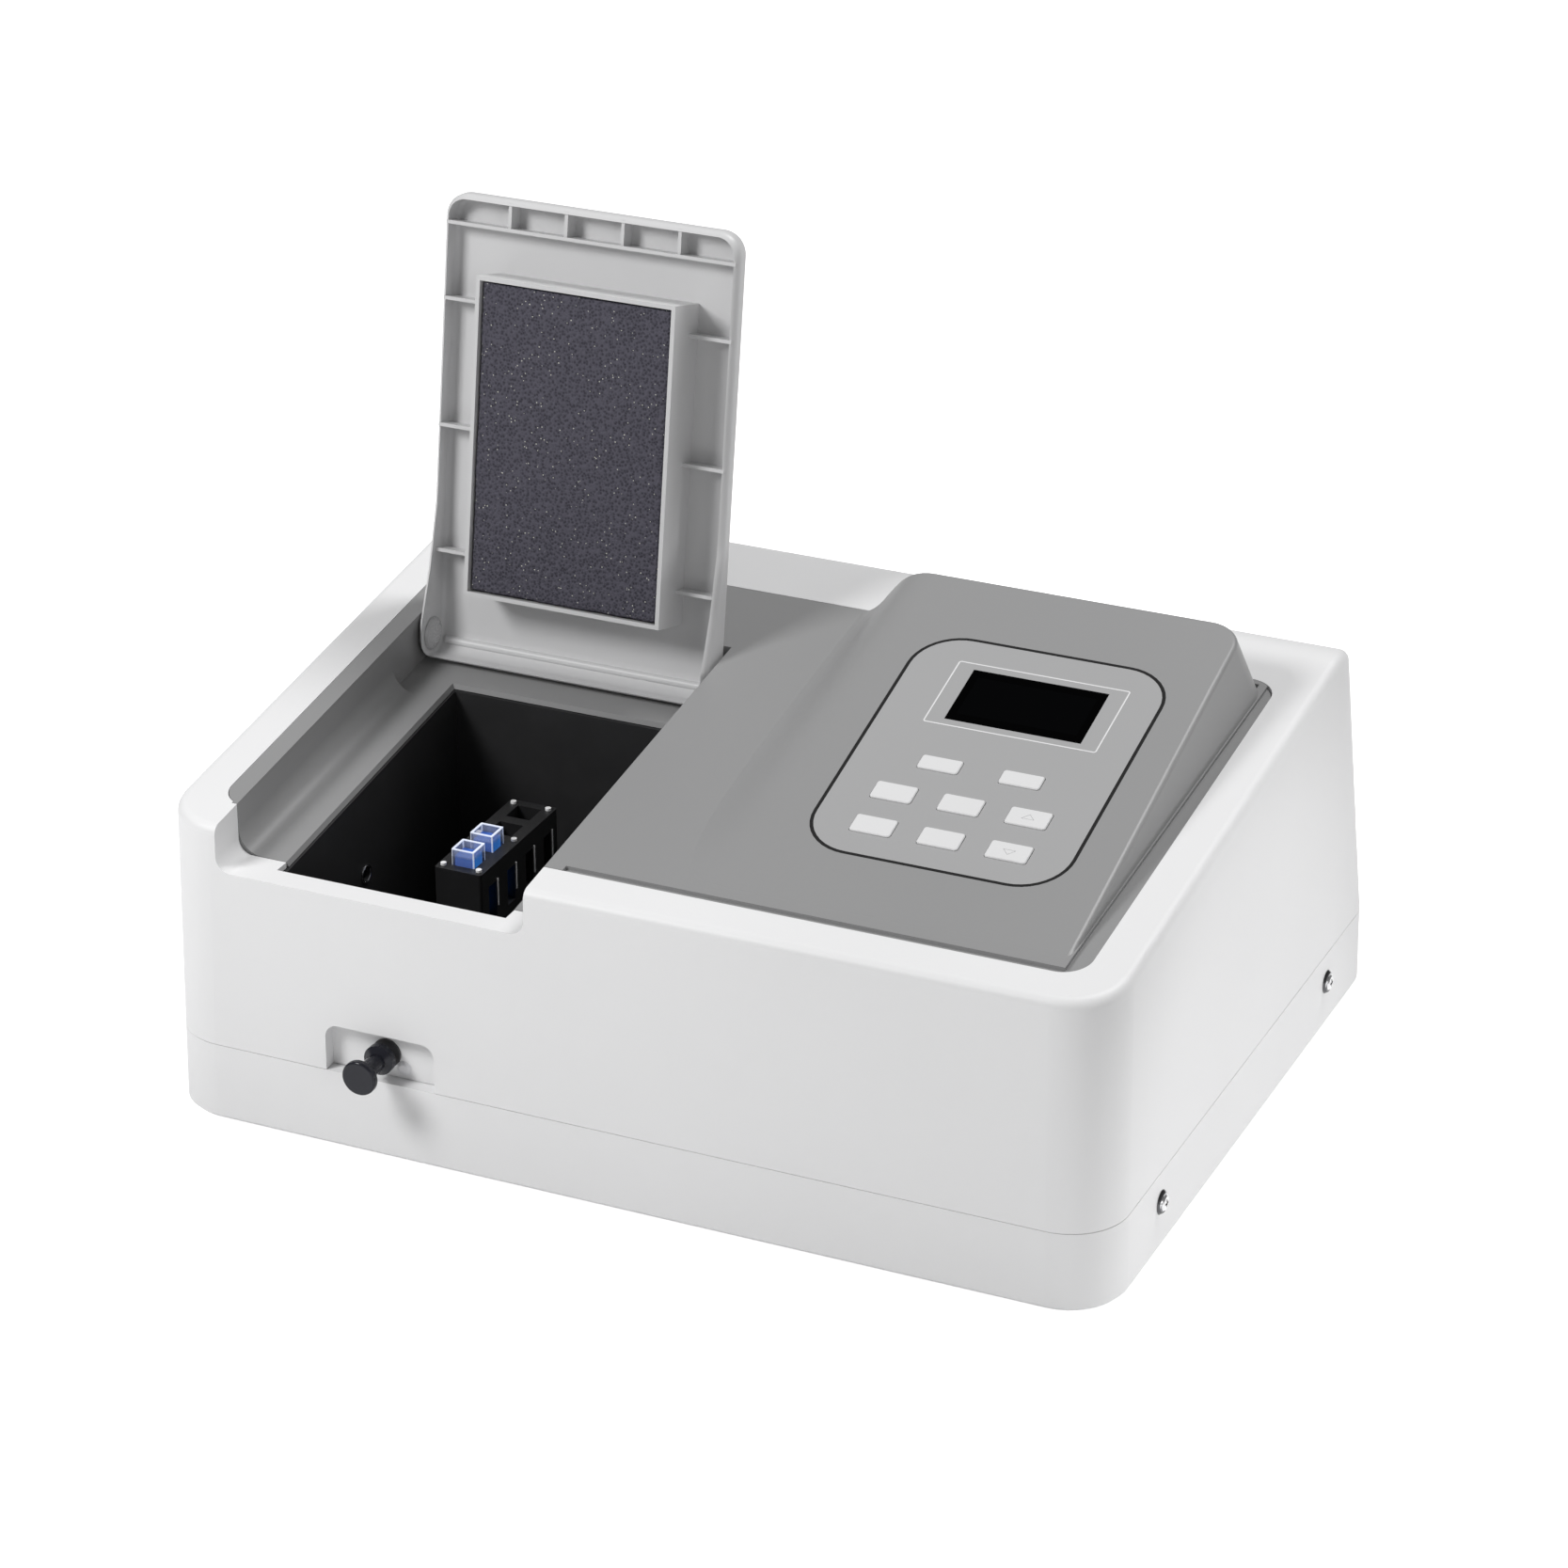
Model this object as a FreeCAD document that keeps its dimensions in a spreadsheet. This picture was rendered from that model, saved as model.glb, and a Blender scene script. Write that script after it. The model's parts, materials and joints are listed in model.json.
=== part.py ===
import FreeCAD, Part
import math
import os
import re
import Sketcher
from FreeCAD import Placement, Rotation, Vector

# A visible spectrophotometer: a two-part moulded case, a grey top moulding with a sample well under a
# hinged lid, a console with keys and a display, a pull rod that shifts four cells through the beam,
# and the lamp, monochromator, detector and boards inside. Millimetres.
# Every sub-part is drawn in the case frame: X to the right, Y back from the lower front edge of the
# case, Z up from the underside of the base tray. Pieces of the console and of the lid are drawn in
# frames of their own, which lie on the console face and on the lid hinge.

doc = FreeCAD.newDocument("spectrophotometer")
sheet = doc.addObject("Spreadsheet::Sheet", "dims")

SIZES = [
    # Case
    ("case_width", 500.0), ("case_depth", 394.0), ("corner_radius", 30.0), ("seam_height", 42.0),
    ("front_height", 160.8), ("top_slope", 7.3), ("back_lean", 12.5), ("knee_radius", 42.0),
    ("side_draft", 0.8), ("seam_gap", 0.3), ("case_wall", 3.0), ("top_wall", 6.5), ("edge_radius", 5.5),
    ("tray_edge", 2.5), ("foot_height", 8.0), ("foot_radius", 11.0), ("foot_inset", 46.0),
    ("screw_y_front", 73.8), ("screw_rear", 78.0), ("screw_height", 25.5), ("screw_radius", 2.0),
    ("washer_radius", 6.2), ("washer_proud", 1.6), ("tab_width", 24.0), ("tab_thick", 3.0),
    # Grey top moulding and its well
    ("panel_half", 225.0), ("panel_front", 25.0), ("panel_back", 292.0), ("panel_corner", 14.0),
    ("panel_skin", 3.0), ("panel_gap", 0.4), ("panel_ledge", 7.0),
    ("well_left", 214.5), ("well_right", 47.6), ("well_back", 236.5), ("well_drop", 26.3),
    ("well_skin", 2.5), ("well_radius", 12.0),
    ("mouth_left", 188.4), ("mouth_right", 64.0), ("mouth_front", 15.5), ("mouth_back", 200.0),
    ("bevel_width", 2.4), ("bevel_drop", 5.0), ("shelf_height", 137.5), ("shelf_skin", 3.0),
    ("notch_radius", 8.0), ("trough_depth", 1.8), ("trough_front", 4.0), ("trough_start", 38.0),
    ("trough_gap", 0.3),
    # Console
    ("console_start", 37.2), ("console_slope", 15.1), ("console_back", 281.0), ("console_left", 7.0),
    ("console_shoulder", 45.0), ("console_right", 215.0), ("console_flare", 4.8),
    ("console_corner", 18.0), ("console_edge", 2.5), ("console_skin", 3.0), ("console_bury", 1.6),
    ("console_rear", 291.4), ("console_height", 60.0), ("hollow_start", 62.0),
    # Keypad, on the console face
    ("keypad_centre", 126.0), ("keypad_width", 132.0), ("keypad_front", 77.8), ("keypad_length", 166.5),
    ("keypad_corner", 25.0), ("overlay_thick", 1.2), ("overlay_gap", 0.6), ("overlay_ledge", 9.0),
    ("key_width", 21.0), ("key_length", 12.2), ("key_short", 9.8), ("key_gap", 0.3),
    ("key_proud", 0.8), ("key_travel", 0.6), ("key_pitch", 34.5), ("row_pitch", 25.4),
    ("row_front", 99.2), ("pair_offset", 21.0), ("key_depth", 5.0), ("key_lip", 1.2), ("key_bevel", 0.4),
    ("board_thick", 1.6), ("switch_height", 3.5), ("switch_size", 6.0),
    ("window_width", 70.9), ("window_length", 39.4), ("window_left", 93.4), ("window_front", 183.5),
    ("window_thick", 1.5),
    # Sample box and beam
    ("box_wall", 2.0), ("box_base", 46.0), ("box_gap", 0.3), ("beam_y", 98.0), ("beam_height", 98.0),
    ("beam_hole", 7.0), ("tube_fit", 0.1),
    # Cell holder and pull rod
    ("rod_x", 127.0), ("rod_height", 54.6), ("rod_radius", 3.0), ("rod_fit", 0.05),
    ("cell_pitch", 20.0), ("cell_size", 12.5), ("cell_fit", 0.35), ("cell_height", 45.0),
    ("cell_wall", 1.25), ("holder_width", 26.0), ("holder_front", 85.0), ("holder_margin", 12.0),
    ("holder_top", 117.5), ("holder_screw_side", 9.8), ("holder_screw_end", 4.0),
    ("cell_proud", 8.5), ("liquid_depth", 41.0), ("window_slot", 8.0),
    ("carriage_height", 13.0), ("carriage_rise", 0.5), ("carriage_lap", 4.0), ("rail_radius", 2.5),
    ("rail_offset", 11.0), ("bush_radius", 5.5), ("bush_flange", 1.5),
    ("pocket_left", 157.3), ("pocket_right", 97.7), ("pocket_top", 67.0), ("pocket_depth", 8.0),
    ("pocket_radius", 7.0), ("knob_front", 22.0), ("knob_length", 24.0), ("knob_radius", 9.0),
    ("knob_flange", 7.8), ("knob_neck", 4.6), ("knob_disc", 3.6), ("spare_x", 118.0),
    ("spare_height", 47.6), ("spare_radius", 3.2),
    # Lid, drawn closed in its own frame: origin on the hinge axis, Y towards the back, Z outwards
    ("hinge_y", 220.5), ("hinge_drop", 12.9), ("lid_left", 213.2), ("lid_right", 50.0),
    ("lid_reach", 231.0), ("lid_rim", 0.5), ("lid_skin", 2.5), ("lid_edge", 5.0),
    ("lid_corner", 12.0), ("ear_radius", 12.6), ("lobe_start", 70.0), ("lobe_middle", 36.0),
    ("lobe_depth", 5.5), ("lid_opening", 105.8),
    ("pad_left", 184.8), ("pad_right", 74.5), ("pad_near", 29.0), ("pad_far", 195.0),
    ("pad_drop", 17.5), ("pad_frame", 2.2), ("pad_sink", 1.5), ("pad_fit", 0.3), ("rib_thick", 1.8),
    ("cross_rib", 216.0), ("rib_first", 45.0), ("rib_pitch", 66.0), ("end_pitch", 31.3),
    ("pin_radius", 3.0), ("pin_fit", 0.05), ("pin_head", 8.8), ("head_thick", 2.6),
    ("head_gap", 0.3), ("bead_radius", 2.2), ("bead_offset", 5.0), ("bead_height", 8.9),
    # Inside
    ("plate_left", 46.0), ("plate_gap", 18.0), ("plate_front", 34.0), ("plate_back", 226.0),
    ("plate_height", 14.0), ("plate_thick", 6.0), ("post_radius", 6.0),
    ("mono_left", 40.0), ("mono_right", 118.0), ("mono_front", 40.0), ("mono_back", 216.0),
    ("mono_top", 122.0), ("mono_wall", 4.0), ("mono_lid", 3.0), ("lamp_y", 152.0),
    ("table_x", 20.0), ("table_y", 98.0), ("motor_size", 42.0), ("motor_height", 34.0),
    ("table_radius", 22.0), ("grating_size", 36.0), ("mirror_radius", 20.0), ("mirror_thick", 8.0),
    ("wheel_radius", 34.0), ("wheel_thick", 2.0), ("wheel_ring", 24.0), ("filter_radius", 6.0),
    ("house_left", 158.0), ("house_gap", 28.0), ("house_half", 32.0), ("house_wall", 1.5),
    ("house_top", 128.0), ("lamp_radius", 6.0), ("lamp_height", 30.0), ("lens_radius", 12.0),
    ("detector_gap", 12.0), ("snout_length", 8.0), ("detector_half", 26.0),
    ("detector_base", 66.0), ("detector_top", 126.0), ("detector_wall", 2.5),
    ("main_left", 196.0), ("main_right", 26.0), ("main_length", 110.0), ("main_rear", 44.0),
    ("main_height", 22.0), ("supply_left", 20.0), ("supply_right", 130.0), ("supply_length", 88.0),
    ("supply_rear", 44.0), ("fan_size", 60.0), ("fan_thick", 20.0), ("fan_x", 186.0),
    ("fan_rear", 64.0), ("fan_hub", 13.0), ("vent_start", 24.0), ("vent_pitch", 9.0),
    ("vent_slot", 4.0), ("vent_margin", 4.0),
    # Back of the tray
    ("inlet_x", 196.0), ("inlet_width", 28.0), ("inlet_height", 20.0), ("inlet_flange", 4.0),
    ("inlet_proud", 2.0), ("inlet_deep", 24.0), ("port_height", 24.0), ("rocker_x", 150.0),
    ("rocker_width", 13.0), ("rocker_height", 19.0), ("rocker_tilt", 10.0), ("serial_x", 60.0),
    ("serial_width", 17.0), ("serial_height", 9.0),
]

# Places that follow from the sizes
PLACES = [
    ("plate_right", "=case_width / 2 - plate_gap"),
    ("house_right", "=case_width / 2 - house_gap"),
    ("screw_y_back", "=case_depth - screw_rear"),
    ("detector_left", "=case_width / 2 - detector_gap"),
    ("detector_right", "=mouth_left - bevel_width + box_wall + snout_length"),
    ("main_back", "=case_depth - main_rear"),
    ("main_front", "=case_depth - main_rear - main_length"),
    ("supply_back", "=case_depth - supply_rear"),
    ("supply_front", "=case_depth - supply_rear - supply_length"),
    ("fan_y", "=case_depth - fan_rear"),
]

for row, (alias, entry) in enumerate(SIZES + PLACES, start=1):
    sheet.set("A%d" % row, alias)
    sheet.set("B%d" % row, str(entry))
    sheet.setAlias("B%d" % row, alias)
doc.recompute()

ALIAS = re.compile(r"\b([a-z]+(?:_[a-z]+)+)\b")
NODES = []


def expr(text):
    """The text as a FreeCAD expression, with every size read from the sheet."""
    return ALIAS.sub(r"dims.\1", str(text))


def value(text):
    """The number that an expression on the sheet's sizes gives now."""
    return float(sheet.evalExpression(expr(text)))


def bind(thing, prop, text):
    """Tie a property to the sheet."""
    thing.setExpression(prop, expr(text))


# Frames and shared positions

REAR_WALL = "(case_depth - tan(side_draft) * port_height)"
DATUM = "((%s - knob_front + inlet_proud) / 2)" % REAR_WALL


def top(y, drop="0"):
    """Height of the sloping top at depth y, less a drop."""
    return "(front_height + tan(top_slope) * (%s) - (%s))" % (y, drop)


CONSOLE_BASE = "(%s - tan(console_slope) * console_start)" % top("console_start")
HINGE_HEIGHT = "(%s)" % top("hinge_y", "hinge_drop / cos(top_slope)")
LEDGE_BASE = "(%s)" % top("0", "well_drop")


def place(thing, origin=("0", "0", "0"), turn=None, finished=True):
    """Put a piece in the case frame, or, when finished, in the row frame on the table."""
    x, y, z = origin
    if finished:
        y = "%s - %s" % (y, DATUM)
        z = "%s + foot_height" % z
    if turn is not None:
        axis, angle = turn
        thing.Placement = Placement(Vector(0, 0, 0), Rotation(axis, value(angle)))
        bind(thing, "Placement.Rotation.Angle", angle)
    bind(thing, "Placement.Base.x", x)
    bind(thing, "Placement.Base.y", y)
    bind(thing, "Placement.Base.z", z)


CONSOLE = {"origin": ("0", "0", CONSOLE_BASE), "turn": (Vector(1, 0, 0), "console_slope")}
LEDGE = {"origin": ("0", "0", LEDGE_BASE), "turn": (Vector(1, 0, 0), "top_slope")}
LID = {"origin": ("0", "hinge_y", HINGE_HEIGHT), "turn": (Vector(-1, 0, 0), "lid_opening - top_slope")}
CASE = {}


def finish(thing, label, frame):
    """Name a sub-part and put it where it belongs on the finished instrument."""
    if thing.TypeId == "Part::Cylinder":
        thing = group(label + "_place", [thing])
    thing.Label = label
    place(thing, finished=True, **frame)
    NODES.append(thing)
    return thing


# Sketching

def plane_of(body, role):
    for feature in body.Origin.OriginFeatures:
        if feature.Role == role:
            return feature


def sketch_on(body, plane, offset):
    """A sketch on one of the body's own planes, moved along the plane's normal."""
    sketch = body.newObject("Sketcher::SketchObject", body.Name + "_sketch")
    sketch.AttachmentSupport = [(plane_of(body, plane + "_Plane"), "")]
    sketch.MapMode = "FlatFace"
    bind(sketch, "AttachmentOffset.Base.z", offset)
    return sketch


def pin_point(sketch, geometry, position, x, y):
    """Hold one point of a sketch at a place worked out from the sheet."""
    for kind, text in (("DistanceX", x), ("DistanceY", y)):
        number = sketch.addConstraint(
            Sketcher.Constraint(kind, -1, 1, geometry, position, value(text)))
        bind(sketch, "Constraints[%d]" % number, text)


def outline(sketch, corners):
    """A closed outline of straight sides; a corner with a third entry is rounded to that radius."""
    count = len(corners)
    points = [Vector(value(c[0]), value(c[1]), 0) for c in corners]
    cuts = []
    for i, corner in enumerate(corners):
        here, before, after = points[i], points[i - 1], points[(i + 1) % count]
        if len(corner) < 3:
            cuts.append((here, here, None))
            continue
        radius = value(corner[2])
        to_before = (before - here).normalize()
        to_after = (after - here).normalize()
        half = to_before.getAngle(to_after) / 2
        reach = radius / math.tan(half)
        middle = (to_before + to_after).normalize() * (radius / math.sin(half))
        cuts.append((here + to_before * reach, here + to_after * reach, here + middle))
    lines = []
    for i in range(count):
        start, end = cuts[i][1], cuts[(i + 1) % count][0]
        lines.append(sketch.addGeometry(Part.LineSegment(start, end), False))
    for i, corner in enumerate(corners):
        line_in, line_out = lines[i - 1], lines[i]
        if len(corner) < 3:
            sketch.addConstraint(Sketcher.Constraint("Coincident", line_in, 2, line_out, 1))
            pin_point(sketch, line_out, 1, corner[0], corner[1])
            continue
        first, last, centre = cuts[i]
        left_turn = (first - points[i - 1]).cross(last - first).z > 0
        ends = (first, last) if left_turn else (last, first)
        angles = [math.atan2(p.y - centre.y, p.x - centre.x) for p in ends]
        circle = Part.Circle(centre, Vector(0, 0, 1), value(corner[2]))
        arc = sketch.addGeometry(Part.ArcOfCircle(circle, angles[0], angles[1]), False)
        into, out = (1, 2) if left_turn else (2, 1)
        sketch.addConstraint(Sketcher.Constraint("Tangent", line_in, 2, arc, into))
        sketch.addConstraint(Sketcher.Constraint("Tangent", line_out, 1, arc, out))
        number = sketch.addConstraint(Sketcher.Constraint("Radius", arc, value(corner[2])))
        bind(sketch, "Constraints[%d]" % number, corner[2])
        ghost = sketch.addGeometry(Part.Point(points[i]), True)
        pin_point(sketch, ghost, 1, corner[0], corner[1])
        sketch.addConstraint(Sketcher.Constraint("PointOnObject", ghost, 1, line_in))
        sketch.addConstraint(Sketcher.Constraint("PointOnObject", ghost, 1, line_out))


def circle_in(sketch, x, y, radius):
    ring = sketch.addGeometry(
        Part.Circle(Vector(value(x), value(y), 0), Vector(0, 0, 1), value(radius)), False)
    pin_point(sketch, ring, 3, x, y)
    number = sketch.addConstraint(Sketcher.Constraint("Radius", ring, value(radius)))
    bind(sketch, "Constraints[%d]" % number, radius)


def rectangle(x_low, y_low, x_high, y_high, radius=None):
    """Corners of an upright rectangle, rounded when a radius is given."""
    corners = [(x_low, y_low), (x_high, y_low), (x_high, y_high), (x_low, y_high)]
    if radius is None:
        return corners
    return [corner + (radius,) for corner in corners]


# Solids

def new_body(name):
    return doc.addObject("PartDesign::Body", name)


def along(plane, low, high):
    """Offset of the sketch that pads from low to high along the plane's own axis."""
    return "-(%s)" % high if plane == "XZ" else "%s" % low


def add_block(body, plane, shapes, low, high, taper=None):
    """Pad outlines and circles from low to high, or cut them out with take_block."""
    sketch = sketch_on(body, plane, along(plane, low, high))
    draw(sketch, shapes)
    pad = body.newObject("PartDesign::Pad", body.Name + "_pad")
    pad.Profile = sketch
    bind(pad, "Length", "(%s) - (%s)" % (high, low))
    if taper is not None:
        bind(pad, "TaperAngle", taper)
    doc.recompute()
    return pad


def take_block(body, plane, shapes, low, high, taper=None):
    """Cut outlines and circles out of a body, from low to high."""
    before = body.Shape.Volume
    sketch = sketch_on(body, plane, along(plane, low, high))
    draw(sketch, shapes)
    pocket = body.newObject("PartDesign::Pocket", body.Name + "_pocket")
    pocket.Profile = sketch
    pocket.Reversed = True
    bind(pocket, "Length", "(%s) - (%s)" % (high, low))
    if taper is not None:
        bind(pocket, "TaperAngle", taper)
    doc.recompute()
    if body.Shape.Volume > before - 1e-3:
        raise RuntimeError("a cut in %s takes nothing away" % body.Name)
    return pocket


def draw(sketch, shapes):
    for shape in shapes:
        if shape[0] == "circle":
            circle_in(sketch, *shape[1:])
        else:
            outline(sketch, shape)


def block(name, plane, shapes, low, high, taper=None):
    """A body with one pad."""
    body = new_body(name)
    add_block(body, plane, shapes, low, high, taper)
    return body


def turned(name, corners, plane="XZ", axis="V_Axis"):
    """A body turned about a sketch axis; corners run out from that axis."""
    body = new_body(name)
    sketch = sketch_on(body, plane, "0")
    outline(sketch, corners)
    turn = body.newObject("PartDesign::Revolution", name + "_turn")
    turn.Profile = sketch
    turn.ReferenceAxis = (sketch, [axis])
    turn.Angle = 360
    doc.recompute()
    return body


def edges_where(shape, test):
    """Numbers of the edges that pass a test on their shape."""
    return [i for i, edge in enumerate(shape.Edges, start=1) if test(edge)]


def round_edges(body, numbers, radius, kind="Fillet"):
    """Fillet, or chamfer, numbered edges of the last feature of a body."""
    feature = body.Tip
    names = ["Edge%d" % number for number in numbers]
    if not names:
        raise RuntimeError("no edge to round on %s" % body.Name)
    rounding = body.newObject("PartDesign::" + kind, body.Name + "_rounding")
    rounding.Base = (feature, names)
    bind(rounding, "Radius" if kind == "Fillet" else "Size", radius)
    doc.recompute()
    return rounding


def fuse(name, parts):
    thing = doc.addObject("Part::MultiFuse", name)
    thing.Shapes = parts
    thing.Refine = True
    return thing


def common(name, parts):
    thing = doc.addObject("Part::MultiCommon", name)
    thing.Shapes = parts
    thing.Refine = True
    return thing


def cut(name, base, tools):
    """Take every tool out of a base."""
    thing = doc.addObject("Part::Cut", name)
    thing.Base = base
    thing.Tool = tools[0] if len(tools) == 1 else fuse(name + "_tools", tools)
    thing.Refine = True
    return thing


def group(name, parts):
    """Separate solids that share a node."""
    thing = doc.addObject("Part::Compound", name)
    thing.Links = parts
    return thing


def box(name, low, high):
    """A plain box between two corners."""
    thing = doc.addObject("Part::Box", name)
    for prop, i in (("Length", 0), ("Width", 1), ("Height", 2)):
        bind(thing, prop, "(%s) - (%s)" % (high[i], low[i]))
        bind(thing, "Placement.Base." + "xyz"[i], low[i])
    return thing


AXES = {"X": Rotation(Vector(0, 1, 0), 90), "Y": Rotation(Vector(1, 0, 0), -90), "Z": Rotation()}


def rod(name, start, radius, length, axis="Z"):
    """A round bar from a start point along an axis."""
    thing = doc.addObject("Part::Cylinder", name)
    thing.Placement = Placement(Vector(0, 0, 0), AXES[axis])
    bind(thing, "Radius", radius)
    bind(thing, "Height", length)
    for i in range(3):
        bind(thing, "Placement.Base." + "xyz"[i], start[i])
    return thing


def tube(name, start, outer, inner, length, axis="Z"):
    """A round bar with a bore right through."""
    bar = rod(name + "_bar", start, outer, length, axis)
    bore = rod(name + "_bore", start, inner, length, axis)
    return cut(name, bar, [bore])


def band(name, low_drop, high_drop, x_low, x_high, y_low, y_high):
    """A slab that follows the sloping top, between two drops below it."""
    corners = [(y_low, top(y_low, low_drop)), (y_high, top(y_high, low_drop)),
               (y_high, top(y_high, high_drop)), (y_low, top(y_low, high_drop))]
    return block(name, "YZ", [corners], x_low, x_high)


# Case

VENT_COUNT = 7


def shell_block(name, wall, roof):
    """The outside of the upper case, or, drawn in by a wall and a roof, its inside."""
    low = "seam_height" if wall == "0" else "(seam_height - 1)"
    high = "(front_height + 110)"
    body = new_body(name)
    sections = []
    for height in (low, high):
        inset = "(tan(side_draft) * %s + %s)" % (height, wall)
        side = "(case_width / 2 - %s)" % inset
        back = "(case_depth - tan(side_draft) * seam_height - %s - tan(back_lean) * (%s - seam_height))" % (
            wall, height)
        sketch = sketch_on(body, "XY", height)
        outline(sketch, rectangle("-" + side, inset, side, back, "corner_radius - %s" % wall))
        sections.append(sketch)
    loft = body.newObject("PartDesign::AdditiveLoft", name + "_loft")
    loft.Profile = sections[0]
    loft.Sections = [sections[1]]
    loft.Ruled = True
    doc.recompute()
    rise = "(front_height - %s - seam_height)" % roof
    tail = "(case_depth - tan(side_draft) * seam_height - %s)" % wall
    knee_y = "((%s - tan(back_lean) * %s) / (1 + tan(back_lean) * tan(top_slope)))" % (tail, rise)
    knee_z = top(knee_y, roof)
    steep = "tan(back_lean + 4)"
    far = "(case_depth + 60)"
    floor = "(seam_height + 30)"
    above = [("-40", top("-40", roof)), (knee_y, knee_z, "knee_radius - %s" % wall),
             ("(%s + %s * (%s - %s))" % (knee_y, steep, knee_z, floor), floor),
             (far, floor), (far, "(front_height + 140)"), ("-40", "(front_height + 140)")]
    take_block(body, "YZ", [above], "-case_width", "case_width")
    return body


def crown_edges(shape):
    """The loop of edges where the sloping top and its knee meet the walls."""
    crown = []
    for face in shape.Faces:
        surface = face.Surface
        if isinstance(surface, Part.Cylinder) and abs(surface.Axis.x) > 0.99:
            crown.append(face)
        elif isinstance(surface, Part.Plane) and surface.Axis.z > 0.9 and face.BoundBox.ZMin > 100:
            crown.append(face)
    return edges_where(shape, lambda edge: sum(
        any(own.isSame(edge) for own in face.Edges) for face in crown) == 1)


def make_upper_cover():
    outer = shell_block("cover_outer", "0", "0")
    round_edges(outer, crown_edges(outer.Tip.Shape), "edge_radius")
    inner = shell_block("cover_inner", "case_wall", "top_wall")
    hollow = cut("cover_hollow", outer, [inner])

    gap = "panel_gap"
    seat = common("cover_seat", [
        band("cover_seat_band", "panel_skin", "-40", "-case_width / 2", "case_width / 2",
             "0", "case_depth"),
        block("cover_seat_plan", "XY",
              [rectangle("-panel_half - " + gap, "panel_front - " + gap, "panel_half + " + gap,
                         "panel_back + " + gap, "panel_corner + " + gap)],
              "shelf_height", "front_height + 120")])
    through = block("cover_through", "XY",
                    [rectangle("-panel_half + panel_ledge", "panel_front + panel_ledge",
                               "panel_half - panel_ledge", "panel_back - panel_ledge",
                               "panel_corner")],
                    "shelf_height", "front_height + 120")
    well = block("cover_well", "XY",
                 [rectangle("-well_left - well_skin - " + gap, "panel_front - " + gap,
                            "-well_right + well_skin + " + gap, "well_back + well_skin + " + gap)],
                 "shelf_height - 20", "front_height + 120")

    cheek = "shelf_skin"
    front = "case_wall / 2 + tan(side_draft) * shelf_height"
    shelf_block = block("cover_shelf_block", "YZ", [[
        (front, "shelf_height - shelf_skin"), ("panel_front - " + gap, "shelf_height - shelf_skin"),
        ("panel_front - " + gap, top("panel_front - " + gap, "panel_skin + 1")),
        (front, top(front, "panel_skin + 1"))]],
        "-well_left - " + cheek, "-well_right + " + cheek)
    notch = block("cover_notch", "XZ", [[
        ("-well_left", "shelf_height", "notch_radius"), ("-well_right", "shelf_height", "notch_radius"),
        ("-well_right", "front_height + 60"), ("-well_left", "front_height + 60")]],
        "-30", "panel_front + 1")
    mouth = block("cover_mouth", "XY", [rectangle(
        "-mouth_left", "mouth_front", "-mouth_right", "panel_front + 20")],
        "shelf_height - 10", "shelf_height + 10")

    pocket_wall = block("cover_pocket_wall", "XZ", [[
        ("-pocket_left - case_wall", "seam_height"), ("-pocket_right + case_wall", "seam_height"),
        ("-pocket_right + case_wall", "pocket_top + case_wall", "pocket_radius + case_wall"),
        ("-pocket_left - case_wall", "pocket_top + case_wall", "pocket_radius + case_wall")]],
        "case_wall / 2", "pocket_depth + case_wall")
    pocket = block("cover_pocket", "XZ", [[
        ("-pocket_left", "seam_height - 1"), ("-pocket_right", "seam_height - 1"),
        ("-pocket_right", "pocket_top", "pocket_radius"),
        ("-pocket_left", "pocket_top", "pocket_radius")]], "-20", "pocket_depth")
    bush_hole = rod("cover_bush_hole", ("-rod_x", "0", "rod_height"), "bush_radius", "40", "Y")
    spare_hole = rod("cover_spare_hole", ("-spare_x", "0", "spare_height"), "spare_radius", "40", "Y")

    tabs = []
    for side in ("-", ""):
        for name, y in (("front", "screw_y_front"), ("back", "screw_y_back")):
            wall_in = "(case_width / 2 - case_wall - 0.7)"
            near = "(%s - tab_thick)" % wall_in
            x_low, x_high = (near, wall_in) if side == "" else ("-" + wall_in, "-" + near)
            plate = box("cover_tab", (x_low, "%s - tab_width / 2" % y, "screw_height - 10"),
                        (x_high, "%s + tab_width / 2" % y, "seam_height + 8"))
            drill = rod("cover_tab_drill", (side + "case_width / 2 - 20" if side == "" else
                                            "-case_width / 2 - 1", y, "screw_height"),
                        "screw_radius + rod_fit", "21", "X")
            tabs.append(cut("cover_tab_drilled", plate, [drill]))
    roots = []
    for side in ("-", ""):
        for y in ("screw_y_front", "screw_y_back"):
            x_low, x_high = ("case_width / 2 - case_wall - 0.7 - tab_thick", "case_width / 2 - 2") \
                if side == "" else ("-case_width / 2 + 2", "-case_width / 2 + case_wall + 0.7 + tab_thick")
            roots.append(box("cover_tab_root", (x_low, "%s - tab_width / 2" % y, "seam_height + 1"),
                             (x_high, "%s + tab_width / 2" % y, "seam_height + 8")))

    vents = []
    for i in range(VENT_COUNT):
        height = "seam_height + vent_start + %d * vent_pitch" % i
        vents.append(box("cover_vent", ("fan_x - fan_size / 2 + vent_margin", "case_depth - 60", height),
                         ("fan_x + fan_size / 2 - vent_margin", "case_depth + 10",
                          height + " + vent_slot")))

    opened = cut("cover_opened", hollow, [seat, through, well])
    walled = fuse("cover_walled", [opened, shelf_block, pocket_wall] + tabs + roots)
    finish(cut("upper_cover", walled, [notch, mouth, pocket, bush_hole, spare_hole] + vents),
           "upper_cover", CASE)


# Grey top moulding

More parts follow.
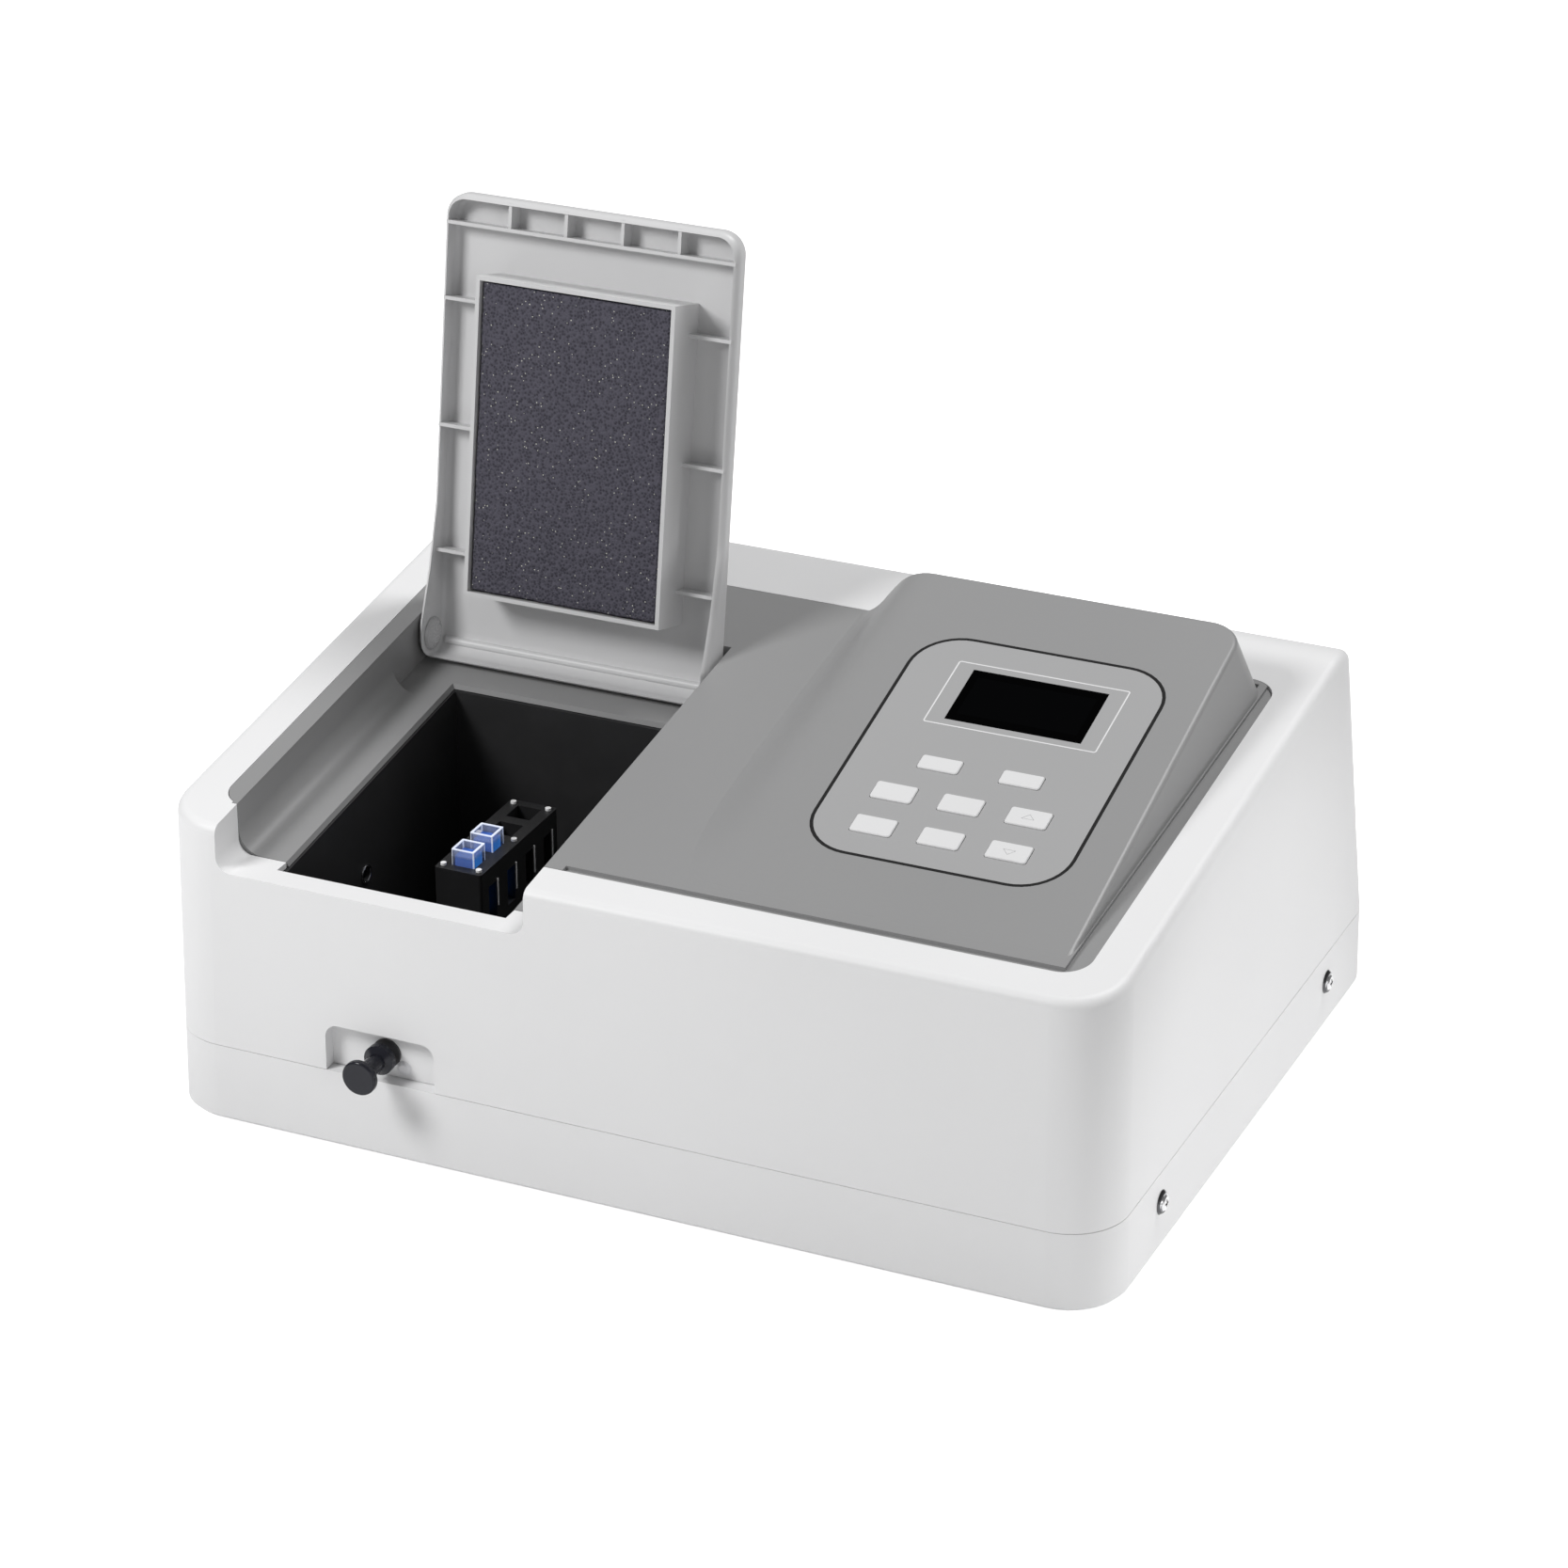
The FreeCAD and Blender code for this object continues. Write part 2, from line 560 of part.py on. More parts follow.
def console_section(y, height_above, inset, floor_drop):
    """Outline of the console across X at one depth: flat top, S-shaped left flank, leaning right wall."""
    share = (y - value("console_start")) / (value("console_back") - value("console_start"))
    flare = value("console_flare") * share
    base = value(top(str(y), floor_drop))
    roof = value(CONSOLE_BASE) + math.tan(math.radians(value("console_slope"))) * y - height_above
    left = -value("console_left") + inset
    shoulder = value("console_shoulder") + inset
    foot_right = value("console_right") + flare - inset
    top_right = value("console_right") - flare - inset
    middle = (left + shoulder) / 2
    corners = [Vector(left, y, base), Vector(foot_right, y, base), Vector(top_right, y, roof),
               Vector(shoulder, y, roof)]
    flank = Part.BezierCurve()
    flank.setPoles([corners[3], Vector(middle, y, roof), Vector(middle, y, base), corners[0]])
    sides = [Part.makeLine(corners[i], corners[i + 1]) for i in range(3)]
    return Part.Wire(sides + [flank.toShape()])


def console_solid(start, inset, floor_drop):
    """The console between its front line and its leaning back face."""
    past = value("console_rear") + 40
    sections = [console_section(y, inset, inset, floor_drop) for y in (start, past)]
    loft = Part.makeLoft(sections, True, True)
    rear, crest = value("console_rear") - inset, value("console_back") - inset
    foot = value(top("console_rear"))
    head = value(CONSOLE_BASE) + math.tan(math.radians(value("console_slope"))) * crest
    lean = (rear - crest) / (head - foot)
    low, high = foot - 60, head + 60
    edge = [Vector(-300, rear + lean * (foot - low), low), Vector(-300, crest - lean * (high - head), high),
            Vector(-300, past + 60, high), Vector(-300, past + 60, low)]
    cutter = Part.Face(Part.makePolygon(edge + edge[:1])).extrude(Vector(600, 0, 0))
    return loft.cut(cutter)


def edge_is(edge, test):
    """True when every sample of an edge passes a test."""
    first, last = edge.FirstParameter, edge.LastParameter
    return all(test(edge.valueAt(first + (last - first) * share)) for share in (0.1, 0.5, 0.9))


def console_outer():
    solid = console_solid(value("console_start"), 0, "console_bury")
    slope = math.tan(math.radians(value("console_slope")))
    base = value(CONSOLE_BASE)

    def on_roof(p):
        return abs(p.z - base - slope * p.y) < 0.3

    def at_back_right(p):
        return p.x > 150 and p.y > value("console_back") - 3

    corner = [e for e in solid.Edges if edge_is(e, at_back_right) and not edge_is(e, on_roof)
              and abs(e.valueAt(e.FirstParameter).z - e.valueAt(e.LastParameter).z) > 10]
    solid = solid.makeFillet(value("console_corner"), corner)
    def at_front(p):
        return p.y < value("console_start") + 1

    def past_shoulder(p):
        return p.x > value("console_shoulder") + 0.5 or p.y > value("console_back") - 4

    crown = [e for e in solid.Edges if edge_is(e, on_roof) and not edge_is(e, at_front)
             and edge_is(e, past_shoulder)]
    return solid.makeFillet(value("console_edge"), crown)


def keypad_rectangle(grow):
    """Corners of the keypad outline on the console face, grown all round."""
    half = "(keypad_width / 2 + (%s))" % grow
    return rectangle("keypad_centre - " + half, "keypad_front - (%s)" % grow,
                     "keypad_centre + " + half, "keypad_front + keypad_length + (%s)" % grow,
                     "keypad_corner + (%s)" % grow)


BOARD_TOP = "(0 - key_depth - key_travel - 0.1 - switch_height)"
BOARD_INSET = "3"


def board_corners():
    half = "(keypad_width / 2 - %s)" % BOARD_INSET
    near = "(keypad_front + %s)" % BOARD_INSET
    far = "(keypad_front + keypad_length - %s)" % BOARD_INSET
    return [("keypad_centre %s (%s - 5)" % (side, half), end) for side in ("-", "+")
            for end in ("(%s + 5)" % near, "(%s - 5)" % far)]


def make_top_panel():
    slab = common("panel_slab", [
        band("panel_band", "panel_skin", "0", "-panel_half - 5", "panel_half + 5", "0", "case_depth"),
        block("panel_plan", "XY", [rectangle("-panel_half", "panel_front", "panel_half", "panel_back",
                                             "panel_corner")], "shelf_height", "front_height + 120")])
    outer_top = "0"
    skin = "well_skin"
    tray = block("panel_tray", "YZ", [[
        ("panel_front", top("panel_front", "well_drop + well_skin")),
        ("well_back + " + skin, top("well_back + " + skin, "well_drop + well_skin")),
        ("well_back + " + skin, top("well_back + " + skin, outer_top)),
        ("panel_front", top("panel_front", outer_top))]],
        "-well_left - " + skin, "-well_right + " + skin)
    void = block("panel_void", "YZ", [[
        ("panel_front - 10", top("panel_front - 10", "well_drop")),
        ("well_back", top("well_back", "well_drop")),
        ("well_back", top("well_back", "0 - 20")),
        ("panel_front - 10", top("panel_front - 10", "0 - 20"))]],
        "-well_left", "-well_right")
    low = edges_where(void.Tip.Shape, lambda edge: edge_is(
        edge, lambda p: abs(p.z - value(top(str(p.y), "well_drop"))) < 0.01)
        and edge.BoundBox.YMax > value("panel_front"))
    round_edges(void, low, "well_radius")
    bay_front = "(hinge_y - lobe_middle)"
    bay = block("panel_bay", "YZ", [[
        (bay_front, top(bay_front, "well_drop")), ("well_back", top("well_back", "well_drop")),
        ("well_back", top("well_back", "0 - 20")), (bay_front, top(bay_front, "0 - 20"))]],
        "-well_left", "-well_right")

    inset = "bevel_width"
    mouth = block("panel_mouth", "XY", [rectangle(
        "-mouth_left + " + inset, "mouth_front + " + inset, "-mouth_right - " + inset,
        "mouth_back - " + inset)], "shelf_height - 40", "front_height + 60")
    bevel = doc.addObject("PartDesign::Body", "panel_bevel")
    rings = []
    for height, grow in (("-bevel_drop", inset), ("1", "0 - %s / bevel_drop" % inset)):
        ring = sketch_on(bevel, "XY", height)
        outline(ring, rectangle("-mouth_left + " + grow, "(mouth_front + %s) / cos(top_slope)" % grow,
                                "-mouth_right - (%s)" % grow,
                                "(mouth_back - (%s)) / cos(top_slope)" % grow))
        rings.append(ring)
    loft = bevel.newObject("PartDesign::AdditiveLoft", "panel_bevel_loft")
    loft.Profile = rings[0]
    loft.Sections = [rings[1]]
    place(bevel, finished=False, **LEDGE)

    console = doc.addObject("Part::Feature", "panel_console")
    console.Shape = console_outer()
    hollow = doc.addObject("Part::Feature", "panel_console_hollow")
    hollow.Shape = console_solid(value("hollow_start"), value("console_skin"), "panel_skin + 1")
    seat = block("panel_keypad_seat", "XY", [keypad_rectangle("overlay_gap")], "-overlay_thick", "20")
    open_face = block("panel_keypad_open", "XY", [keypad_rectangle("0 - overlay_ledge")], "-20", "20")
    for tool in (seat, open_face):
        place(tool, finished=False, **CONSOLE)
    posts = []
    for x, y in board_corners():
        post = rod("panel_board_post", (x, y, BOARD_TOP), "3", "0 - console_skin / 2 - %s" % BOARD_TOP)
        posts.append(post)
    post_set = group("panel_board_posts", posts)
    place(post_set, finished=False, **CONSOLE)

    pin_left = rod("panel_pin_left", ("-well_left - 6", "hinge_y", HINGE_HEIGHT), "pin_radius + pin_fit",
                   "8", "X")
    pin_right = rod("panel_pin_right", ("-well_right - 2", "hinge_y", HINGE_HEIGHT),
                    "pin_radius + pin_fit", "8", "X")
    beside = "console_right + trough_gap"
    trough = common("panel_trough", [
        band("panel_trough_band", "trough_depth", "-console_height", "-panel_half", "panel_half + 1",
             "0", "case_depth"),
        block("panel_trough_plan", "XY", [[
            ("-trough_start", "panel_front - 1"), ("panel_half + 1", "panel_front - 1"),
            ("panel_half + 1", "panel_back + 1"), (beside + " + console_flare", "panel_back + 1"),
            (beside + " + console_flare", "console_back"), (beside, "console_start"),
            (beside, "panel_front + trough_front"), ("-trough_start", "panel_front + trough_front")]],
            "shelf_height", "front_height + 120")])
    body = fuse("panel_body", [slab, tray, console])
    emptied = cut("panel_emptied", body,
                  [void, bay, mouth, bevel, hollow, pin_left, pin_right, trough])
    posted = fuse("panel_posted", [emptied, post_set])
    finish(cut("top_panel", posted, [seat, open_face]), "top_panel", CASE)


# Base tray

def tray_block(name, levels):
    """A block with the outline of the drafted case, through (height, inset) levels."""
    body = new_body(name)
    sections = []
    for height, inset in levels:
        edge = "(tan(side_draft) * (%s) + %s)" % (height, inset)
        side = "(case_width / 2 - %s)" % edge
        sketch = sketch_on(body, "XY", height)
        outline(sketch, rectangle("-" + side, edge, side, "case_depth - " + edge,
                                  "corner_radius - %s" % inset))
        sections.append(sketch)
    loft = body.newObject("PartDesign::AdditiveLoft", name + "_loft")
    loft.Profile = sections[0]
    loft.Sections = sections[1:]
    loft.Ruled = True
    doc.recompute()
    return body


def corner_points(x_low, y_low, x_high, y_high):
    return [(x, y) for x in (x_low, x_high) for y in (y_low, y_high)]


def foot_points():
    inset = "foot_inset"
    return corner_points("-case_width / 2 + " + inset, inset, "case_width / 2 - " + inset,
                         "case_depth - " + inset)


def make_base_tray():
    outer = tray_block("tray_outer", [("0", "tray_edge"), ("tray_edge", "0"),
                                      ("seam_height - seam_gap", "0")])
    inner = tray_block("tray_inner", [("case_wall", "case_wall"), ("seam_height + 5", "case_wall")])
    posts = []
    for x, y in corner_points("-plate_left + 12", "plate_front + 12", "plate_right - 12",
                              "plate_back - 12"):
        posts.append(rod("tray_plate_post", (x, y, "case_wall - 1"), "post_radius",
                         "plate_height - case_wall + 1"))
    for x, y in corner_points("-main_left + 6", "main_front + 6", "-main_right - 6", "main_back - 6"):
        posts.append(rod("tray_board_post", (x, y, "case_wall - 1"), "4",
                         "main_height - case_wall + 1"))
    for x, y in corner_points("-mouth_left + 10", "mouth_front + 16", "-mouth_right - 10",
                              "mouth_back - 12"):
        posts.append(rod("tray_box_post", (x, y, "case_wall - 1"), "post_radius",
                         "box_base - case_wall + 1"))
    hollow = cut("tray_hollow", outer, [inner])
    ledge = box("tray_pocket_ledge", ("-pocket_left - case_wall", "case_wall / 2 + 0.5",
                                      "seam_height - seam_gap - case_wall"),
                ("-pocket_right + case_wall", "pocket_depth + case_wall", "seam_height - seam_gap"))
    whole = fuse("tray_whole", [hollow, ledge] + posts)
    near = "case_depth - 12"
    far = "case_depth + 5"
    openings = [
        box("tray_inlet_hole", ("inlet_x - inlet_width / 2", near, "port_height - inlet_height / 2"),
            ("inlet_x + inlet_width / 2", far, "port_height + inlet_height / 2")),
        box("tray_rocker_hole", ("rocker_x - rocker_width / 2 - 1.5", near,
                                 "port_height - rocker_height / 2 - 1.5"),
            ("rocker_x + rocker_width / 2 + 1.5", far, "port_height + rocker_height / 2 + 1.5")),
        box("tray_serial_hole", ("-serial_x - serial_width / 2", near,
                                 "main_height + board_thick"),
            ("-serial_x + serial_width / 2", far, "main_height + board_thick + serial_height"))]
    for y in ("screw_y_front", "screw_y_back"):
        openings.append(rod("tray_screw_hole", ("-case_width / 2 - 5", y, "screw_height"),
                            "screw_radius + rod_fit", "case_width + 10", "X"))
    finish(cut("base_tray", whole, openings), "base_tray", CASE)

    feet = []
    for x, y in foot_points():
        foot = rod("foot", (x, y, "-foot_height"), "foot_radius", "foot_height")
        feet.append(foot)
    rounded = group("feet_plain", feet)
    finish(rounded, "rubber_feet", CASE)

    screws, washers = [], []
    for side in (-1, 1):
        for y in ("screw_y_front", "screw_y_back"):
            sign = "-" if side < 0 else ""
            surface = "(case_width / 2 - tan(side_draft) * (screw_height - washer_radius) + 0.05)"
            washer = turned("washer", [
                ("screw_radius + 0.1", "0"), ("washer_radius", "0"),
                ("washer_radius - 1.2", "washer_proud"), ("screw_radius + 2.2", "washer_proud"),
                ("screw_radius + 0.1", "0.5")])
            screw = turned("screw", [
                ("0", "0 - case_wall - tab_thick - 4"), ("screw_radius", "0 - case_wall - tab_thick - 4"),
                ("screw_radius", "0.6"), ("screw_radius + 2", "washer_proud + 0.1"),
                ("screw_radius + 1.4", "washer_proud + 0.9"), ("0", "washer_proud + 1.4")])
            for thing in (washer, screw):
                place(thing, (sign + surface, y, "screw_height"),
                      (Vector(0, side, 0), "90"), finished=False)
            screws.append(screw)
            washers.append(washer)
    finish(group("screws", screws), "cover_screws", CASE)
    finish(group("washers", washers), "cup_washers", CASE)


# Keypad and display

KEYS = [
    ("key_top_left", "keypad_centre - pair_offset", "row_front + 2 * row_pitch", "key_short"),
    ("key_top_right", "keypad_centre + pair_offset", "row_front + 2 * row_pitch", "key_short"),
    ("key_mid_left", "keypad_centre - key_pitch", "row_front + row_pitch", "key_length"),
    ("key_mid_centre", "keypad_centre", "row_front + row_pitch", "key_length"),
    ("key_mid_right", "keypad_centre + key_pitch", "row_front + row_pitch", "key_length"),
    ("key_low_left", "keypad_centre - key_pitch", "row_front", "key_length"),
    ("key_low_centre", "keypad_centre", "row_front", "key_length"),
    ("key_low_right", "keypad_centre + key_pitch", "row_front", "key_length"),
]


def centred(x, y, width, length, radius=None):
    return rectangle("(%s) - (%s) / 2" % (x, width), "(%s) - (%s) / 2" % (y, length),
                     "(%s) + (%s) / 2" % (x, width), "(%s) + (%s) / 2" % (y, length), radius)


def make_keypad():
    window = rectangle("window_left", "window_front", "window_left + window_width",
                       "window_front + window_length")
    holes = [centred(x, y, "key_width + 2 * key_gap", length + " + 2 * key_gap", "1.8")
             for name, x, y, length in KEYS]
    overlay = block("overlay", "XY", [keypad_rectangle("0")] + holes + [window], "-overlay_thick", "0")
    finish(overlay, "keypad_overlay", CONSOLE)

    glass = block("window", "XY", [rectangle(
        "window_left + 0.1", "window_front + 0.1", "window_left + window_width - 0.1",
        "window_front + window_length - 0.1")], "-window_thick", "-0.1")
    finish(glass, "display_window", CONSOLE)
    module = block("module", "XY", [rectangle(
        "window_left - 4", "window_front - 5", "window_left + window_width + 4",
        "window_front + window_length + 6")], BOARD_TOP, "-window_thick")
    finish(module, "display_module", CONSOLE)

    half = "(keypad_width / 2 - %s)" % BOARD_INSET
    board = block("board", "XY", [rectangle(
        "keypad_centre - " + half, "keypad_front + " + BOARD_INSET, "keypad_centre + " + half,
        "keypad_front + keypad_length - " + BOARD_INSET)], BOARD_TOP + " - board_thick", BOARD_TOP)
    finish(board, "keypad_board", CONSOLE)
    switches = [block("switch", "XY", [centred(x, y, "switch_size", "switch_size")],
                      BOARD_TOP, BOARD_TOP + " + switch_height") for name, x, y, length in KEYS]
    finish(group("switches", switches), "key_switches", CONSOLE)

    for name, x, y, length in KEYS:
        key = block(name + "_cap", "XY", [centred(x, y, "key_width", length, "1.5")],
                    "-key_depth", "key_proud")
        add_block(key, "XY", [centred(x, y, "key_width + 2 * key_lip", length + " + 2 * key_lip", "2")],
                  "-overlay_thick - 1.3", "-overlay_thick - 0.05")
        crown = edges_where(key.Tip.Shape, lambda edge: edge_is(
            edge, lambda p: abs(p.z - value("key_proud")) < 0.01))
        round_edges(key, crown, "key_bevel", "Chamfer")
        finish(key, name, CONSOLE)


# Sample box, cell holder and pull rod

BOX_LEFT = "(-mouth_left + bevel_width)"
BOX_RIGHT = "(-mouth_right - bevel_width)"
BOX_FRONT = "(mouth_front + bevel_width)"
BOX_BACK = "(mouth_back - bevel_width)"


def make_sample_box():
    drop = "well_drop + well_skin + box_gap"
    near, far = BOX_FRONT + " - box_wall", BOX_BACK + " + box_wall"
    body = block("box_body", "YZ", [[
        (near, "box_base"), (far, "box_base"), (far, top(far, drop)), (near, top(near, drop))]],
        BOX_LEFT + " - box_wall", BOX_RIGHT + " + box_wall")
    take_block(body, "XY", [rectangle(BOX_LEFT, BOX_FRONT, BOX_RIGHT, BOX_BACK)],
               "box_base + box_wall", "front_height + 40")
    beam = rod("box_beam", ("-mouth_left - 20", "beam_y", "beam_height"), "beam_hole / 2",
               "mouth_left + 20", "X")
    bush = rod("box_bush_hole", ("-rod_x", "mouth_front - 5", "rod_height"), "bush_radius + rod_fit",
               "20", "Y")
    plunger = rod("box_plunger_hole", ("-rod_x", "holder_front + 6", "box_base - 2"),
                  "3.5", "box_wall + 4")
    finish(cut("sample_box", body, [beam, bush, plunger]), "sample_box", CASE)

    ball = turned("plunger", [
        ("0", "-14"), ("3.4", "-14"), ("3.4", "0"), ("2", "0"), ("0.8", "0.9"), ("0", "0.9")])
    place(ball, ("-rod_x", "holder_front + 6", "box_base + box_wall"), finished=False)
    finish(group("plunger_place", [ball]), "detent_plunger", CASE)

    rails = [rod("rail", ("-rod_x %s rail_offset" % side, BOX_FRONT + " + 0.05",
                          "rod_height"), "rail_radius", BOX_BACK + " - " + BOX_FRONT + " - 0.1", "Y")
             for side in ("-", "+")]
    finish(group("rails", rails), "carriage_rails", CASE)


def make_holder():
    half = "holder_width / 2"
    far = "(holder_front + 3 * cell_pitch + 2 * holder_margin)"
    floor = "(box_base + box_wall + carriage_rise)"
    bed = "(%s + carriage_height)" % floor
    carriage = box("carriage_block", ("-rod_x - %s - carriage_lap" % half, "holder_front", floor),
                   ("-rod_x + %s + carriage_lap" % half, far, bed))
    groove = box("carriage_groove", ("-rod_x - 2.5", "holder_front - 1", floor + " - 1"),
                 ("-rod_x + 2.5", far + " + 1", floor + " + 0.8"))
    bores = [rod("carriage_bore", ("-rod_x %s rail_offset" % side, "holder_front - 1", "rod_height"),
                 "rail_radius + rod_fit", far + " - holder_front + 2", "Y") for side in ("-", "+")]
    socket = rod("carriage_socket", ("-rod_x", "holder_front - 1", "rod_height"),
                 "rod_radius + rod_fit", "13.05", "Y")
    finish(cut("carriage", carriage, [groove, socket] + bores), "cell_carriage", CASE)

    well_floor = "(holder_top + cell_proud - cell_height)"
    wells, slots = [], []
    for i in range(4):
        centre = "(holder_front + holder_margin + %d * cell_pitch)" % i
        wells.append(centred("-rod_x", centre, "cell_size + 2 * cell_fit", "cell_size + 2 * cell_fit"))
        slots.append(centred(centre, "beam_height", "window_slot", "2.4 * window_slot"))
    holder = block("holder_body", "XY", [centred("-rod_x", "(holder_front + %s) / 2" % far,
                                                 "holder_width", far + " - holder_front", "1.5")],
                   bed, "holder_top")
    take_block(holder, "XY", wells, well_floor, "holder_top + 5")
    take_block(holder, "YZ", slots, "-rod_x - holder_width", "-rod_x + holder_width")
    finish(holder, "cell_holder", CASE)

    middle = "(holder_front + %s) / 2" % far
    screws = []
    for side in ("-", "+"):
        for y in ("holder_front + holder_screw_end", middle, far + " - holder_screw_end"):
            screws.append(rod("holder_screw", ("-rod_x %s holder_screw_side" % side, y,
                                               "holder_top + 0.02"), "1.5", "1.2"))
    finish(group("holder_screw_set", screws), "holder_screws", CASE)

    cells, liquids = [], []
    for i in range(2):
        centre = "(holder_front + holder_margin + %d * cell_pitch)" % i
        cell = block("cell_%d" % i, "XY", [centred("-rod_x", centre, "cell_size", "cell_size", "0.8")],
                     well_floor + " + 0.05", well_floor + " + cell_height")
        take_block(cell, "XY", [centred("-rod_x", centre, "cell_size - 2 * cell_wall",
                                        "cell_size - 2 * cell_wall")],
                   well_floor + " + cell_wall", well_floor + " + cell_height + 1")
        cells.append(cell)
        liquids.append(block("liquid_%d" % i, "XY", [centred(
            "-rod_x", centre, "cell_size - 2 * cell_wall - 0.1", "cell_size - 2 * cell_wall - 0.1")],
            well_floor + " + cell_wall + 0.05", well_floor + " + liquid_depth"))
    finish(group("cells", cells), "cuvettes", CASE)
    finish(group("liquids", liquids), "cuvette_liquids", CASE)

    rod_start = "(4 - knob_front)"
    finish(rod("rod", ("-rod_x", rod_start, "rod_height"), "rod_radius",
               "holder_front + 12 - " + rod_start, "Y"), "pull_rod", CASE)
    knob = turned("knob", [
        ("rod_radius + rod_fit", "knob_length"), ("rod_radius + rod_fit", "3.95"), ("0", "3.95"),
        ("0", "0"), ("knob_radius", "0", "1.2"), ("knob_radius", "knob_disc", "1"),
        ("knob_neck", "knob_disc + 1.6"), ("knob_neck", "knob_length - knob_disc - 1.6"),
        ("knob_flange", "knob_length - knob_disc"), ("knob_flange", "knob_length")])
    place(knob, ("-rod_x", "-knob_front", "rod_height"), (Vector(-1, 0, 0), "90"), finished=False)
    finish(group("knob_place", [knob]), "pull_knob", CASE)

    bush = turned("bush", [
        ("rod_radius + 0.1", "0 - bush_flange"), ("bush_radius + 2", "0 - bush_flange"),
        ("bush_radius + 2", "-0.05"), ("bush_radius - rod_fit", "-0.05"),
        ("bush_radius - rod_fit", "11"), ("rod_radius + 0.1", "11")])
    place(bush, ("-rod_x", "pocket_depth", "rod_height"), (Vector(-1, 0, 0), "90"), finished=False)
    finish(group("bush_place", [bush]), "rod_bush", CASE)
    plug = turned("plug", [
        ("0", "-1.4"), ("spare_radius - 1", "-1.2"), ("spare_radius + 0.8", "-0.05"),
        ("spare_radius - rod_fit", "-0.05"), ("spare_radius - rod_fit", "4.5"), ("0", "4.5")])
    place(plug, ("-spare_x", "pocket_depth", "spare_height"), (Vector(-1, 0, 0), "90"),
          finished=False)
    finish(group("plug_place", [plug]), "spare_hole_plug", CASE)


# Lid

def upright(name, shapes, low, high, level_low, level_high):
    """Ribs that stand upright when the lid is closed, kept between two levels of the lid."""
    prism = block(name + "_prism", "XY", shapes, low, high)
    place(prism, turn=(Vector(-1, 0, 0), "top_slope"), finished=False)
    level = box(name + "_level", ("-case_width", "-case_depth", level_low),
                ("case_width", "case_depth", level_high))
    return common(name, [prism, level])


def foam_depth(reach):
    """Depth, level with the table, of a point of the pad's rim at a reach from the hinge axis."""
    return "(sin(top_slope) * pad_drop - cos(top_slope) * (%s))" % reach


